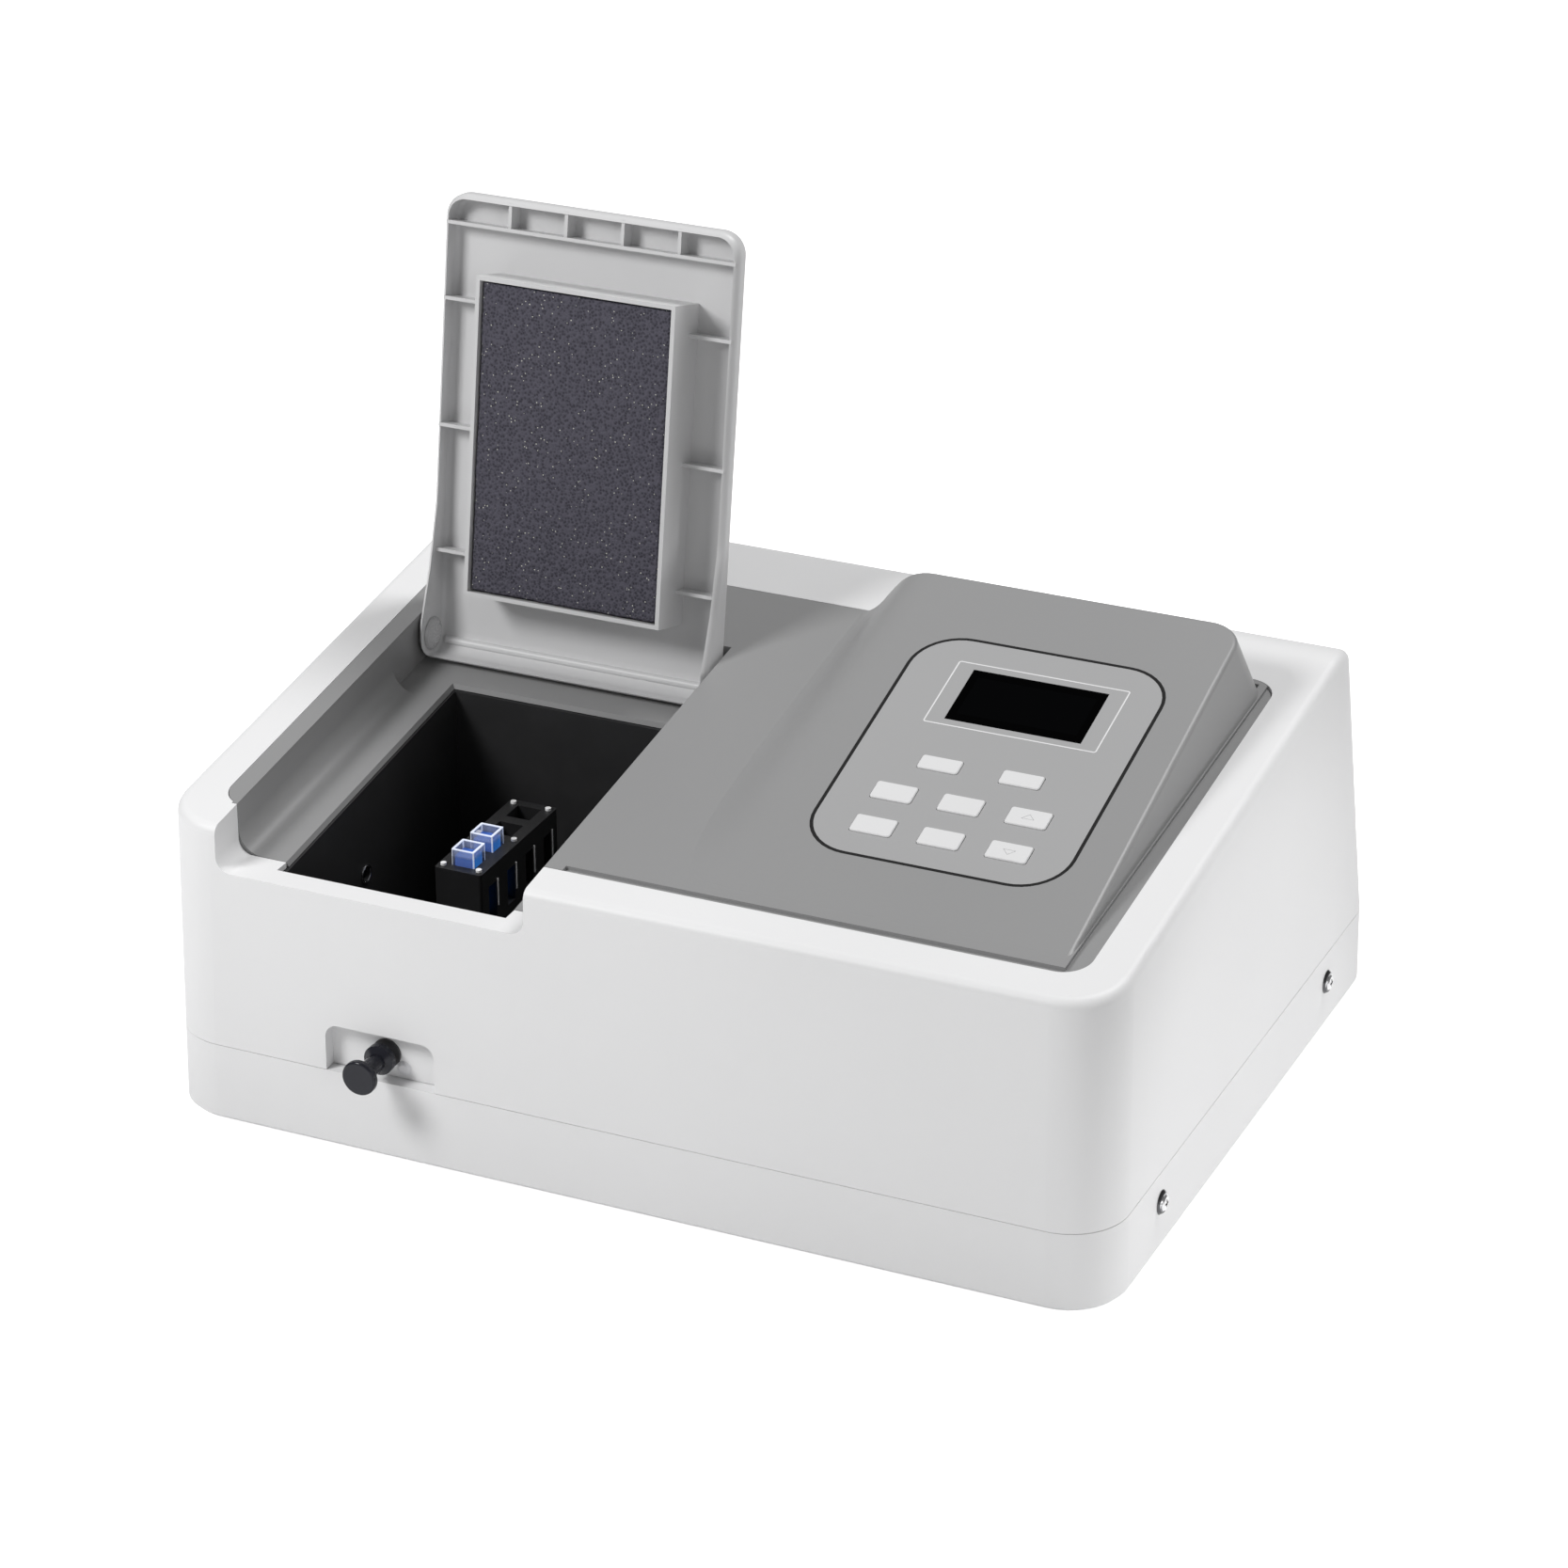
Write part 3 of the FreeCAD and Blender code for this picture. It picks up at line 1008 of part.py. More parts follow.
def make_lid():
    left, right = "-lid_left", "-lid_right"
    profile = [("-lid_reach", "hinge_drop"), ("-lid_reach", "-lid_rim"),
               ("-lobe_start", "-lid_rim", "40"), ("-lobe_middle", "-lobe_depth", "40"),
               ("-8", "-ear_radius", "10"), ("ear_radius", "-ear_radius", "ear_radius - 0.1"),
               ("ear_radius", "hinge_drop", "ear_radius - 0.1")]
    sides = block("lid_sides", "YZ", [profile], left, right)
    end = edges_where(sides.Tip.Shape, lambda edge: edge_is(edge, lambda p: (
        abs(p.y + value("lid_reach")) < 0.01 and min(abs(p.x - value(left)), abs(p.x - value(right)))
        < 0.01)))
    round_edges(sides, end, "lid_corner")
    crown = edges_where(sides.Tip.Shape, lambda edge: edge_is(edge, lambda p: (
        abs(p.z - value("hinge_drop")) < 0.01 and p.y < -0.5
        or p.y > 0.2 and p.z > 0 and min(abs(p.x - value(left)), abs(p.x - value(right))) < 0.01))
        and not edge_is(edge, lambda p: p.y > -1 and abs(p.z - value("hinge_drop")) < 0.01))
    round_edges(sides, crown, "lid_edge")
    skin = "lid_skin"
    void = block("lid_void", "YZ", [[
        ("-lid_reach + " + skin, "hinge_drop - " + skin), ("-lid_reach + " + skin, "-40"),
        ("ear_radius - " + skin, "-40"),
        ("ear_radius - " + skin, "hinge_drop - " + skin, "ear_radius - %s - 0.1" % skin)]],
        left + " + " + skin, right + " - " + skin)
    end = edges_where(void.Tip.Shape, lambda edge: edge_is(edge, lambda p: (
        abs(p.y - value("-lid_reach + " + skin)) < 0.01
        and min(abs(p.x - value(left + " + " + skin)), abs(p.x - value(right + " - " + skin)))
        < 0.01)))
    round_edges(void, end, "lid_corner - " + skin)
    crown = edges_where(void.Tip.Shape, lambda edge: edge_is(
        edge, lambda p: abs(p.z - value("hinge_drop - " + skin)) < 0.01)
        and not edge_is(edge, lambda p: p.y > -1))
    round_edges(void, crown, "lid_edge - %s" % skin)
    holes = [rod("lid_pin_hole", (start, "0", "0"), "pin_radius + pin_fit", "8", "X")
             for start in ("-lid_left - 2", "-lid_right - 6")]
    shell = cut("lid_shell", sides, [void] + holes)

    inner = "hinge_drop - lid_skin + 0.5"
    near, far = foam_depth("pad_near"), foam_depth("pad_far")
    wall = "pad_frame"
    frame = upright("lid_pad_frame", [
        rectangle("-pad_left", far, "-pad_right", near),
        rectangle("-pad_left + " + wall, far + " + " + wall, "-pad_right - " + wall,
                  near + " - " + wall)], "-70", "40", "-pad_drop", inner)
    ribs = []
    for i in range(3):
        reach = "(rib_first + %d * rib_pitch)" % i
        y = "(-cos(top_slope) * %s)" % reach
        ribs += [rectangle(left + " + lid_skin - 1", y + " - rib_thick / 2", "-pad_left + 0.5",
                           y + " + rib_thick / 2"),
                 rectangle("-pad_right - 0.5", y + " - rib_thick / 2", right + " - lid_skin + 1",
                           y + " + rib_thick / 2")]
    cross = "(-cos(top_slope) * cross_rib)"
    ribs.append(rectangle(left + " + lid_skin - 1", cross + " - rib_thick / 2",
                          right + " - lid_skin + 1", cross + " + rib_thick / 2"))
    side_ribs = upright("lid_ribs", ribs, "-50", "40", "-lid_rim + 0.5", inner)
    ends = []
    for i in range(4):
        x = "(-(pad_left + pad_right) / 2 + (%g) * end_pitch)" % (i - 1.5)
        ends.append(rectangle("%s - rib_thick / 2" % x, "-cos(top_slope) * (lid_reach - lid_skin) - 4",
                              "%s + rib_thick / 2" % x, cross + " - rib_thick / 2 + 0.3"))
    end_ribs = upright("lid_end_ribs", ends, "-50", "40", "-lid_rim + 1.5", inner)
    reach_box = box("lid_end_limit", ("-lid_left", "-lid_reach + lid_skin / 2", "-10"),
                    ("-lid_right", "0", "20"))
    end_ribs = common("lid_end_ribs_cut", [end_ribs, reach_box])
    clear = "(lid_skin + head_gap + head_thick + 1)"
    bead = rod("lid_bead", (left + " + " + clear, "bead_offset", "bead_height"), "bead_radius",
               "lid_left - lid_right - 2 * " + clear, "X")
    finish(fuse("lid", [shell, frame, side_ribs, end_ribs, bead]), "lid", LID)

    fit = "(pad_frame + pad_fit)"
    foam = upright("foam", [rectangle("-pad_left + " + fit, far + " + " + fit, "-pad_right - " + fit,
                                      near + " - " + fit)],
                   "-70", "40", "-pad_drop + pad_sink", "hinge_drop - lid_skin - 0.05")
    finish(foam, "lid_foam", LID)

    pins = []
    for start, side in (("-lid_left", 1), ("-lid_right", -1)):
        gap = "(well_left - lid_left)" if side > 0 else "(lid_right - well_right)"
        outer = "0 - %s - well_skin" % gap
        inner_face = "(lid_skin + head_gap)"
        pin = turned("pin", [
            ("0", outer), ("pin_radius", outer), ("pin_radius", inner_face),
            ("pin_head", inner_face), ("pin_head - 1", inner_face + " + 1.2"),
            ("pin_head - 4", inner_face + " + head_thick"), ("0", inner_face + " + head_thick")])
        place(pin, (start, "hinge_y", HINGE_HEIGHT), (Vector(0, side, 0), "90"), finished=False)
        pins.append(pin)
    finish(group("pins", pins), "hinge_pins", CASE)


# Optics, lamp and detector

def make_optics():
    bed = "(plate_height + plate_thick)"
    plate = block("plate", "XY", [rectangle("-plate_left", "plate_front", "plate_right", "plate_back",
                                            "8")], "plate_height", bed)
    wheel_x = "(mono_right + 16)"
    wheel_z = "(beam_height - wheel_ring)"
    motor_x = "(%s + wheel_thick + 3)" % wheel_x
    saddle = box("saddle_block", (motor_x + " + 2", "lamp_y - 11", bed + " - 1"),
                 (motor_x + " + 14", "lamp_y + 11", wheel_z + " - 4"))
    saddle_cut = rod("saddle_cut", (motor_x, "lamp_y", wheel_z), "14.05", "20", "X")
    finish(cut("plate_saddled", fuse("plate_cast", [plate, saddle]), [saddle_cut]), "optics_plate",
           CASE)

    wall = "mono_wall"
    housing = block("mono", "XY", [rectangle("-mono_left", "mono_front", "mono_right", "mono_back",
                                             "6")], bed, "mono_top")
    take_block(housing, "XY", [rectangle("-mono_left + " + wall, "mono_front + " + wall,
                                         "mono_right - " + wall, "mono_back - " + wall, "2")],
               bed + " + " + wall, "mono_top + 1")
    entrance = rod("mono_entrance", ("mono_right - 8", "lamp_y", "beam_height"), "4", "12", "X")
    leaving = rod("mono_exit", ("-mono_left - 4", "beam_y", "beam_height"), "lens_radius - 1 + tube_fit",
                  "12", "X")
    floor = "(%s + mono_wall)" % bed
    mount_x = "(-mono_left + mono_wall + 3)"
    mount = box("mirror_post", (mount_x, "lamp_y - mirror_radius - 2", floor + " - 1"),
                (mount_x + " + 6", "lamp_y + mirror_radius + 2", "beam_height + mirror_radius - 2"))
    finish(cut("mono_drilled", fuse("mono_cast", [housing, mount]), [entrance, leaving]),
           "mono_housing", CASE)
    cover = block("mono_top_plate", "XY", [rectangle("-mono_left", "mono_front", "mono_right",
                                                     "mono_back", "6")],
                  "mono_top + 0.05", "mono_top + mono_lid")
    finish(cover, "mono_cover", CASE)

    motor_top = "(%s + motor_height)" % floor
    motor = block("motor", "XY", [centred("table_x", "table_y", "motor_size", "motor_size", "4")],
                  floor, motor_top)
    take_block(motor, "XY", [("circle", "table_x", "table_y", "2.55")], motor_top + " - 12",
               motor_top + " + 1")
    finish(motor, "grating_motor", CASE)
    table = turned("table", [
        ("0", "-10"), ("2.5", "-10"), ("2.5", "0.4"), ("7", "0.4"), ("7", "9"), ("table_radius", "9"),
        ("table_radius", "13"), ("0", "13")])
    place(table, ("table_x", "table_y", motor_top), finished=False)
    finish(group("table_place", [table]), "grating_table", CASE)
    table_top = "(%s + 13)" % motor_top
    grating = block("grating_block", "XY", [centred("table_x", "table_y", "8", "grating_size")],
                    table_top, table_top + " + grating_size")
    finish(grating, "grating", CASE)

    mirror = turned("mirror", [
        ("0", "0"), ("mirror_radius", "0"), ("mirror_radius", "mirror_thick"),
        ("mirror_radius * 0.66", "mirror_thick - 0.8"), ("mirror_radius * 0.33", "mirror_thick - 1.2"),
        ("0", "mirror_thick - 1.4")])
    place(mirror, (mount_x + " + 6", "lamp_y", "beam_height"), (Vector(0, 1, 0), "90"),
          finished=False)
    finish(group("mirror_place", [mirror]), "collimating_mirror", CASE)

    tube_start = BOX_RIGHT + " + box_wall + 0.1"
    lens_tube = tube("exit_barrel", (tube_start, "beam_y", "beam_height"), "lens_radius - 1",
                     "lens_radius - 3", "-mono_left + mono_wall - (%s)" % tube_start, "X")
    finish(lens_tube, "exit_tube", CASE)

    wheel = turned("wheel", [
        ("0", "0"), ("wheel_radius", "0"), ("wheel_radius", "wheel_thick"), ("6", "wheel_thick"),
        ("6", "wheel_thick + 2.6"), ("1.5", "wheel_thick + 2.6"), ("1.5", "wheel_thick + 12"),
        ("0", "wheel_thick + 12")])
    hole_sketch = []
    glasses = []
    for i in range(6):
        angle = 60 * i
        across = "(sin(%d) * wheel_ring)" % angle
        up = "(cos(%d) * wheel_ring)" % angle
        hole_sketch.append(("circle", up, across, "filter_radius + 0.1"))
        glass = rod("glass", (wheel_x + " + 0.4", "lamp_y + " + across, wheel_z + " + " + up),
                    "filter_radius", "1.2", "X")
        glasses.append(glass)
    take_block(wheel, "XY", hole_sketch, "-1", "wheel_thick + 1")
    place(wheel, (wheel_x, "lamp_y", wheel_z), (Vector(0, 1, 0), "90"), finished=False)
    finish(group("wheel_place", [wheel]), "filter_wheel", CASE)
    finish(group("glasses", glasses[1:]), "filter_glasses", CASE)
    drum = rod("drum", (motor_x, "lamp_y", wheel_z), "14", "16", "X")
    drum_bore = rod("drum_bore", (motor_x + " - 1", "lamp_y", wheel_z), "1.55", "12", "X")
    finish(cut("drum_bored", drum, [drum_bore]), "filter_motor", CASE)

    house = block("house", "XY", [rectangle("house_left", "lamp_y - house_half", "house_right",
                                            "lamp_y + house_half")], bed, "house_top")
    take_block(house, "XY", [rectangle(
        "house_left + house_wall", "lamp_y - house_half + house_wall", "house_right - house_wall",
        "lamp_y + house_half - house_wall")], bed + " - 1", "house_top - house_wall")
    take_block(house, "XY", [centred("(house_left + house_right) / 2", "lamp_y + %d * 9" % (i - 2),
                                     "house_right - house_left - 20", "4") for i in range(5)],
               "house_top - 4", "house_top + 1")
    window = rod("house_window", ("house_left - 2", "lamp_y", "beam_height"), "lens_radius - 2", "8",
                 "X")
    finish(cut("house_open", house, [window]), "lamp_house", CASE)
    finish(rod("condenser", ("house_left + house_wall + 0.05", "lamp_y", "beam_height"),
               "lens_radius", "4", "X"), "condenser_lens", CASE)
    lamp_x = "(house_left + house_right) / 2"
    seat_top = "(beam_height - 34)"
    socket = block("socket", "XY", [centred(lamp_x, "lamp_y", "20", "20")], bed, seat_top)
    take_block(socket, "XY", [("circle", lamp_x, "lamp_y", "4.05")], seat_top + " - 8",
               seat_top + " + 1")
    finish(socket, "lamp_socket", CASE)
    lamp = turned("lamp_bulb", [
        ("0", "-7.9"), ("4", "-7.9"), ("4", "8"), ("lamp_radius", "12"),
        ("lamp_radius", "9 + lamp_height"), ("lamp_radius - 3", "12 + lamp_height"),
        ("0", "12 + lamp_height")])
    place(lamp, (lamp_x, "lamp_y", seat_top), finished=False)
    finish(group("lamp_place", [lamp]), "halogen_lamp", CASE)

    half = "detector_half"
    left, right = "-detector_left", "-detector_right"
    dark = block("dark_box", "XY", [rectangle(left, "beam_y - " + half, right, "beam_y + " + half)],
                 "case_wall + 0.05", "detector_top")
    take_block(dark, "XZ", [rectangle(left + " + 4", "case_wall - 1", right + " - 4",
                                      "detector_base - 4")], "0", "case_depth")
    take_block(dark, "YZ", [rectangle(
        "beam_y - %s + detector_wall" % half, "detector_base + detector_wall",
        "beam_y + %s - detector_wall" % half, "detector_top - detector_wall")],
        left + " - 1", right + " - detector_wall")
    snout = rod("dark_snout", (right + " - 1", "beam_y", "beam_height"), "8",
                "snout_length - 0.1 + 1", "X")
    hole = rod("dark_hole", (right + " - 8", "beam_y", "beam_height"), "4.5", "snout_length + 16", "X")
    finish(cut("dark_drilled", fuse("dark_whole", [dark, snout]), [hole]), "detector_housing", CASE)
    card = box("card", (left + " - board_thick - 0.05", "beam_y - %s" % half, "detector_base"),
               (left + " - 0.05", "beam_y + %s" % half, "detector_top"))
    diode = rod("diode", (left + " - 0.5", "beam_y", "beam_height"), "6", "8", "X")
    finish(fuse("card_whole", [card, diode]), "detector_board", CASE)


# Boards, supply, fan and the sockets on the back

def chip(x, y, width, length, height):
    base = "(main_height + board_thick)"
    return box("chip", ("-main_left + %g" % x, "main_front + %g" % y, base),
               ("-main_left + %g" % (x + width), "main_front + %g" % (y + length),
                base + " + %g" % height))


def make_electronics():
    board = block("main", "XY", [rectangle("-main_left", "main_front", "-main_right", "main_back",
                                           "3")], "main_height", "main_height + board_thick")
    finish(board, "main_board", CASE)
    chips = [chip(20, 20, 28, 28, 3), chip(60, 24, 16, 10, 3), chip(60, 44, 16, 10, 3),
             chip(90, 20, 22, 12, 10), chip(120, 18, 30, 24, 18), chip(20, 62, 40, 8, 9),
             chip(110, 60, 24, 8, 9)]
    finish(group("chips", chips), "board_parts", CASE)

    supply = block("supply", "XY", [rectangle("supply_left", "supply_front", "supply_right",
                                              "supply_back", "1")], "case_wall + 0.05", "seam_height + 6")
    take_block(supply, "XY", [rectangle("supply_left + 1.5", "supply_front + 1.5",
                                        "supply_right - 1.5", "supply_back - 1.5")],
               "case_wall - 1", "seam_height + 4.5")
    take_block(supply, "XY", [centred("(supply_left + supply_right) / 2",
                                      "supply_front + 14 + %d * 10" % i,
                                      "supply_right - supply_left - 24", "4") for i in range(7)],
               "seam_height", "seam_height + 8")
    finish(supply, "power_supply", CASE)

    centre_z = "(case_wall + 0.05 + fan_size / 2)"
    half = "(fan_size / 2)"
    frame = block("fan", "XZ", [centred("fan_x", centre_z, "fan_size", "fan_size", "3"),
                                ("circle", "fan_x", centre_z, half + " - 2")],
                  "fan_y", "fan_y + fan_thick")
    back = "fan_y + fan_thick - 3"
    boss = rod("fan_boss", ("fan_x", back, centre_z), "fan_hub", "3", "Y")
    struts = [box("fan_strut", ("fan_x - fan_size / 2 + 1", back, centre_z + " - 2"),
                  ("fan_x + fan_size / 2 - 1", "fan_y + fan_thick", centre_z + " + 2")),
              box("fan_strut", ("fan_x - 2", back, "%s - %s + 1" % (centre_z, half)),
                  ("fan_x + 2", "fan_y + fan_thick", "%s + %s - 1" % (centre_z, half)))]
    pin = rod("fan_pin", ("fan_x", "fan_y + 6", centre_z), "1.5", "fan_thick - 8", "Y")
    finish(fuse("fan_whole", [frame, boss, pin] + struts), "fan_frame", CASE)

    hub_length = "(fan_thick - 4.5)"
    rotor = turned("rotor", [
        ("1.55", "3"), ("0", "3"), ("0", "0"), ("fan_hub", "0", "1.5"), ("fan_hub", hub_length),
        ("1.55", hub_length)])
    blade = add_block(rotor, "XY", [[("fan_hub - 1", "-1"), (half + " - 3.5", "-3"),
                                     (half + " - 3.5", "3"), ("fan_hub - 1", "1")]], "2", "13")
    ring = rotor.newObject("PartDesign::PolarPattern", "rotor_blades")
    ring.Originals = [blade]
    ring.Axis = (plane_of(rotor, "Z_Axis"), [""])
    ring.Angle = 360
    ring.Occurrences = 7
    rotor.Tip = ring
    place(rotor, ("fan_x", "fan_y + 0.5", centre_z), (Vector(-1, 0, 0), "90"), finished=False)
    finish(group("rotor_place", [rotor]), "fan_rotor", CASE)


def make_back_sockets():
    wall_y = REAR_WALL
    width, height = "inlet_width", "inlet_height"
    low = "port_height - inlet_height / 2"
    body = box("inlet_body", ("inlet_x - inlet_width / 2 + 0.1", wall_y + " - inlet_deep", low + " + 0.1"),
               ("inlet_x + inlet_width / 2 - 0.1", wall_y + " + 1", low + " + inlet_height - 0.1"))
    flange = box("inlet_plate", ("inlet_x - inlet_width / 2 - inlet_flange", wall_y + " + 0.25",
                                 low + " - inlet_flange"),
                 ("inlet_x + inlet_width / 2 + inlet_flange", wall_y + " + inlet_proud",
                  low + " + inlet_height + inlet_flange"))
    recess = box("inlet_recess", ("inlet_x - inlet_width / 2 + 2", wall_y + " - inlet_deep + 3",
                                  low + " + 2"),
                 ("inlet_x + inlet_width / 2 - 2", wall_y + " + 10", low + " + inlet_height - 2"))
    pins = [box("inlet_pin", ("inlet_x %+g - 1" % (7 * i), wall_y + " - inlet_deep + 2",
                              "port_height - 2 %+g" % (2 if i == 0 else -1)),
                ("inlet_x %+g + 1" % (7 * i), wall_y + " - 4",
                 "port_height + 2 %+g" % (2 if i == 0 else -1))) for i in (-1, 0, 1)]
    socket = cut("inlet_socket", fuse("inlet_whole", [body, flange]), [recess])
    finish(fuse("inlet_pinned", [socket] + pins), "power_inlet", CASE)

    half_w, half_h = "(rocker_width / 2)", "(rocker_height / 2)"
    frame_body = box("rocker_body", ("rocker_x - %s - 1.4" % half_w, wall_y + " - 14",
                                     "port_height - %s - 1.4" % half_h),
                     ("rocker_x + %s + 1.4" % half_w, wall_y + " + 1",
                      "port_height + %s + 1.4" % half_h))
    rim = box("rocker_rim", ("rocker_x - %s - 3" % half_w, wall_y + " + 0.25",
                             "port_height - %s - 3" % half_h),
              ("rocker_x + %s + 3" % half_w, wall_y + " + 1.5", "port_height + %s + 3" % half_h))
    hole = box("rocker_hole", ("rocker_x - " + half_w, wall_y + " - 12", "port_height - " + half_h),
               ("rocker_x + " + half_w, wall_y + " + 10", "port_height + " + half_h))
    finish(cut("rocker_socket", fuse("rocker_whole", [frame_body, rim]), [hole]), "rocker_frame", CASE)
    rocker = block("rocker", "YZ", [[
        ("-8", "0"), ("-1.5", "0 - %s + 1.2" % half_h), ("2.2", "0 - %s + 1.6" % half_h),
        ("0.6", "0"), ("2.2", "%s - 1.6" % half_h), ("-1.5", "%s - 1.2" % half_h)]],
        "0 - %s + 0.3" % half_w, half_w + " - 0.3")
    place(rocker, ("rocker_x", wall_y, "port_height"), (Vector(1, 0, 0), "rocker_tilt"),
          finished=False)
    finish(group("rocker_place", [rocker]), "power_rocker", CASE)

    base = "(main_height + board_thick)"
    serial = box("serial_shell", ("-serial_x - serial_width / 2 + 0.1", "main_back - 8", base + " + 0.1"),
                 ("-serial_x + serial_width / 2 - 0.1", wall_y + " + inlet_proud",
                  base + " + serial_height - 0.1"))
    serial_recess = box("serial_recess", ("-serial_x - serial_width / 2 + 1", wall_y + " - 8",
                                          base + " + 1"),
                        ("-serial_x + serial_width / 2 - 1", wall_y + " + 9",
                         base + " + serial_height - 1"))
    finish(cut("serial", serial, [serial_recess]), "serial_port", CASE)


make_upper_cover()
make_top_panel()
make_base_tray()
make_keypad()
make_sample_box()
make_holder()
make_lid()
make_optics()
make_electronics()
make_back_sockets()
doc.recompute()

os.makedirs("parts", exist_ok=True)
for thing in doc.Objects:
    if "Invalid" in thing.State or "Error" in thing.State:
        raise RuntimeError("%s does not recompute" % thing.Name)
for node in NODES:
    if node.Shape.isNull() or not node.Shape.isValid():
        raise RuntimeError("%s is not a valid solid" % node.Label)
    print(node.Label, len(node.Shape.Solids), round(node.Shape.Volume))
    node.Shape.exportStep("parts/%s.step" % node.Label)
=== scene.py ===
import bpy
import bmesh
import json
import math
from mathutils import Matrix, Vector


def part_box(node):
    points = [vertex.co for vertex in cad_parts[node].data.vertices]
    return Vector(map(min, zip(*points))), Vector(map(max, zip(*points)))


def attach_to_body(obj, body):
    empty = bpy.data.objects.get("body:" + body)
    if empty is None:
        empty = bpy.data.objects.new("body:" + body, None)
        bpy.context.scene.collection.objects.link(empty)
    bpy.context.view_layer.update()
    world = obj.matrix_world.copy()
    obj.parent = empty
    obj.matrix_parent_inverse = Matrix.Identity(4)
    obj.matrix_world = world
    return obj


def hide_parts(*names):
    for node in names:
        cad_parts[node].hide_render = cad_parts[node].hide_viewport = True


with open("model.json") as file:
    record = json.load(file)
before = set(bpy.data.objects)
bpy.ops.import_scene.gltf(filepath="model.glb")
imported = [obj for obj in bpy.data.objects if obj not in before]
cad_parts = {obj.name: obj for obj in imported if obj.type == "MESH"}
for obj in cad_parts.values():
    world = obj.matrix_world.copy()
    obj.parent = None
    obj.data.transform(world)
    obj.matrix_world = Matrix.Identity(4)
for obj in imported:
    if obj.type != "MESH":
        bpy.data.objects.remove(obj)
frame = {"nodes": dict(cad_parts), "record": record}
NODES = frame["nodes"]
BODY_OF = {node: body for body, members in frame["record"]["behaviour"]["bodies"].items()
           for node in members}
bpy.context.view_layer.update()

# Driving values, in metres and radians
MM = 0.001
CONSOLE_SLOPE = math.radians(15.1)
CELL_PITCH = 20.0 * MM      # from one cell to the next in the holder
BEAM_Y = -88.83 * MM        # the light beam's path across the compartment
BEAM_Z = 106.0 * MM
CORNER_STEPS = 10           # segments of a rounded corner
PRINT_THICK = 0.04 * MM     # ink on the keypad film
FILM_HALF = 0.6 * MM        # half the thickness of the keypad film
DISPLAY_HALF = 0.7 * MM     # half the thickness of the display window
DISPLAY_LIFT = 0.12 * MM    # from the window's face to the face of the film
CAMERA_AZIMUTH = math.radians(24.32)
CAMERA_ELEVATION = math.radians(25.71)
CAMERA_ROLL = math.radians(-0.11)
CAMERA_PLACE = Vector((0.9199, -2.0269, 1.2252))
FRAME_PIXELS = 1667         # width of the square picture
FOCAL_PIXELS = 5271.85      # focal length, in pixels of that picture
SENSOR_WIDTH = 36.0         # in millimetres, as the lens is
BLACK = (0.0, 0.0, 0.0)
WHITE = (1.0, 1.0, 1.0)


# Shader arithmetic

class Wire:
    """An output socket, or a number, that takes part in Python expressions."""

    def __init__(self, finish, socket):
        self.finish = finish
        self.socket = socket

    def math(self, operation, *others):
        """The result of one arithmetic node, named as the node names it."""
        return self.finish.node("ShaderNodeMath", {"operation": operation},
                                dict(enumerate((self,) + others)))

    def __add__(self, other):
        return self.math("ADD", other)

    __radd__ = __add__

    def __sub__(self, other):
        return self.math("SUBTRACT", other)

    def __rsub__(self, other):
        return self.finish.node("ShaderNodeMath", {"operation": "SUBTRACT"}, {0: other, 1: self})

    def __mul__(self, other):
        return self.math("MULTIPLY", other)

    __rmul__ = __mul__

    def __truediv__(self, other):
        return self.math("DIVIDE", other)

    def above(self, level):
        """1 where the value is above the level, else 0."""
        return self.math("GREATER_THAN", level)

    def below(self, level):
        """1 where the value is below the level, else 0."""
        return self.math("LESS_THAN", level)

    def clamped(self):
        """The value, kept between 0 and 1."""
        return self.math("MINIMUM", 1.0).math("MAXIMUM", 0.0)


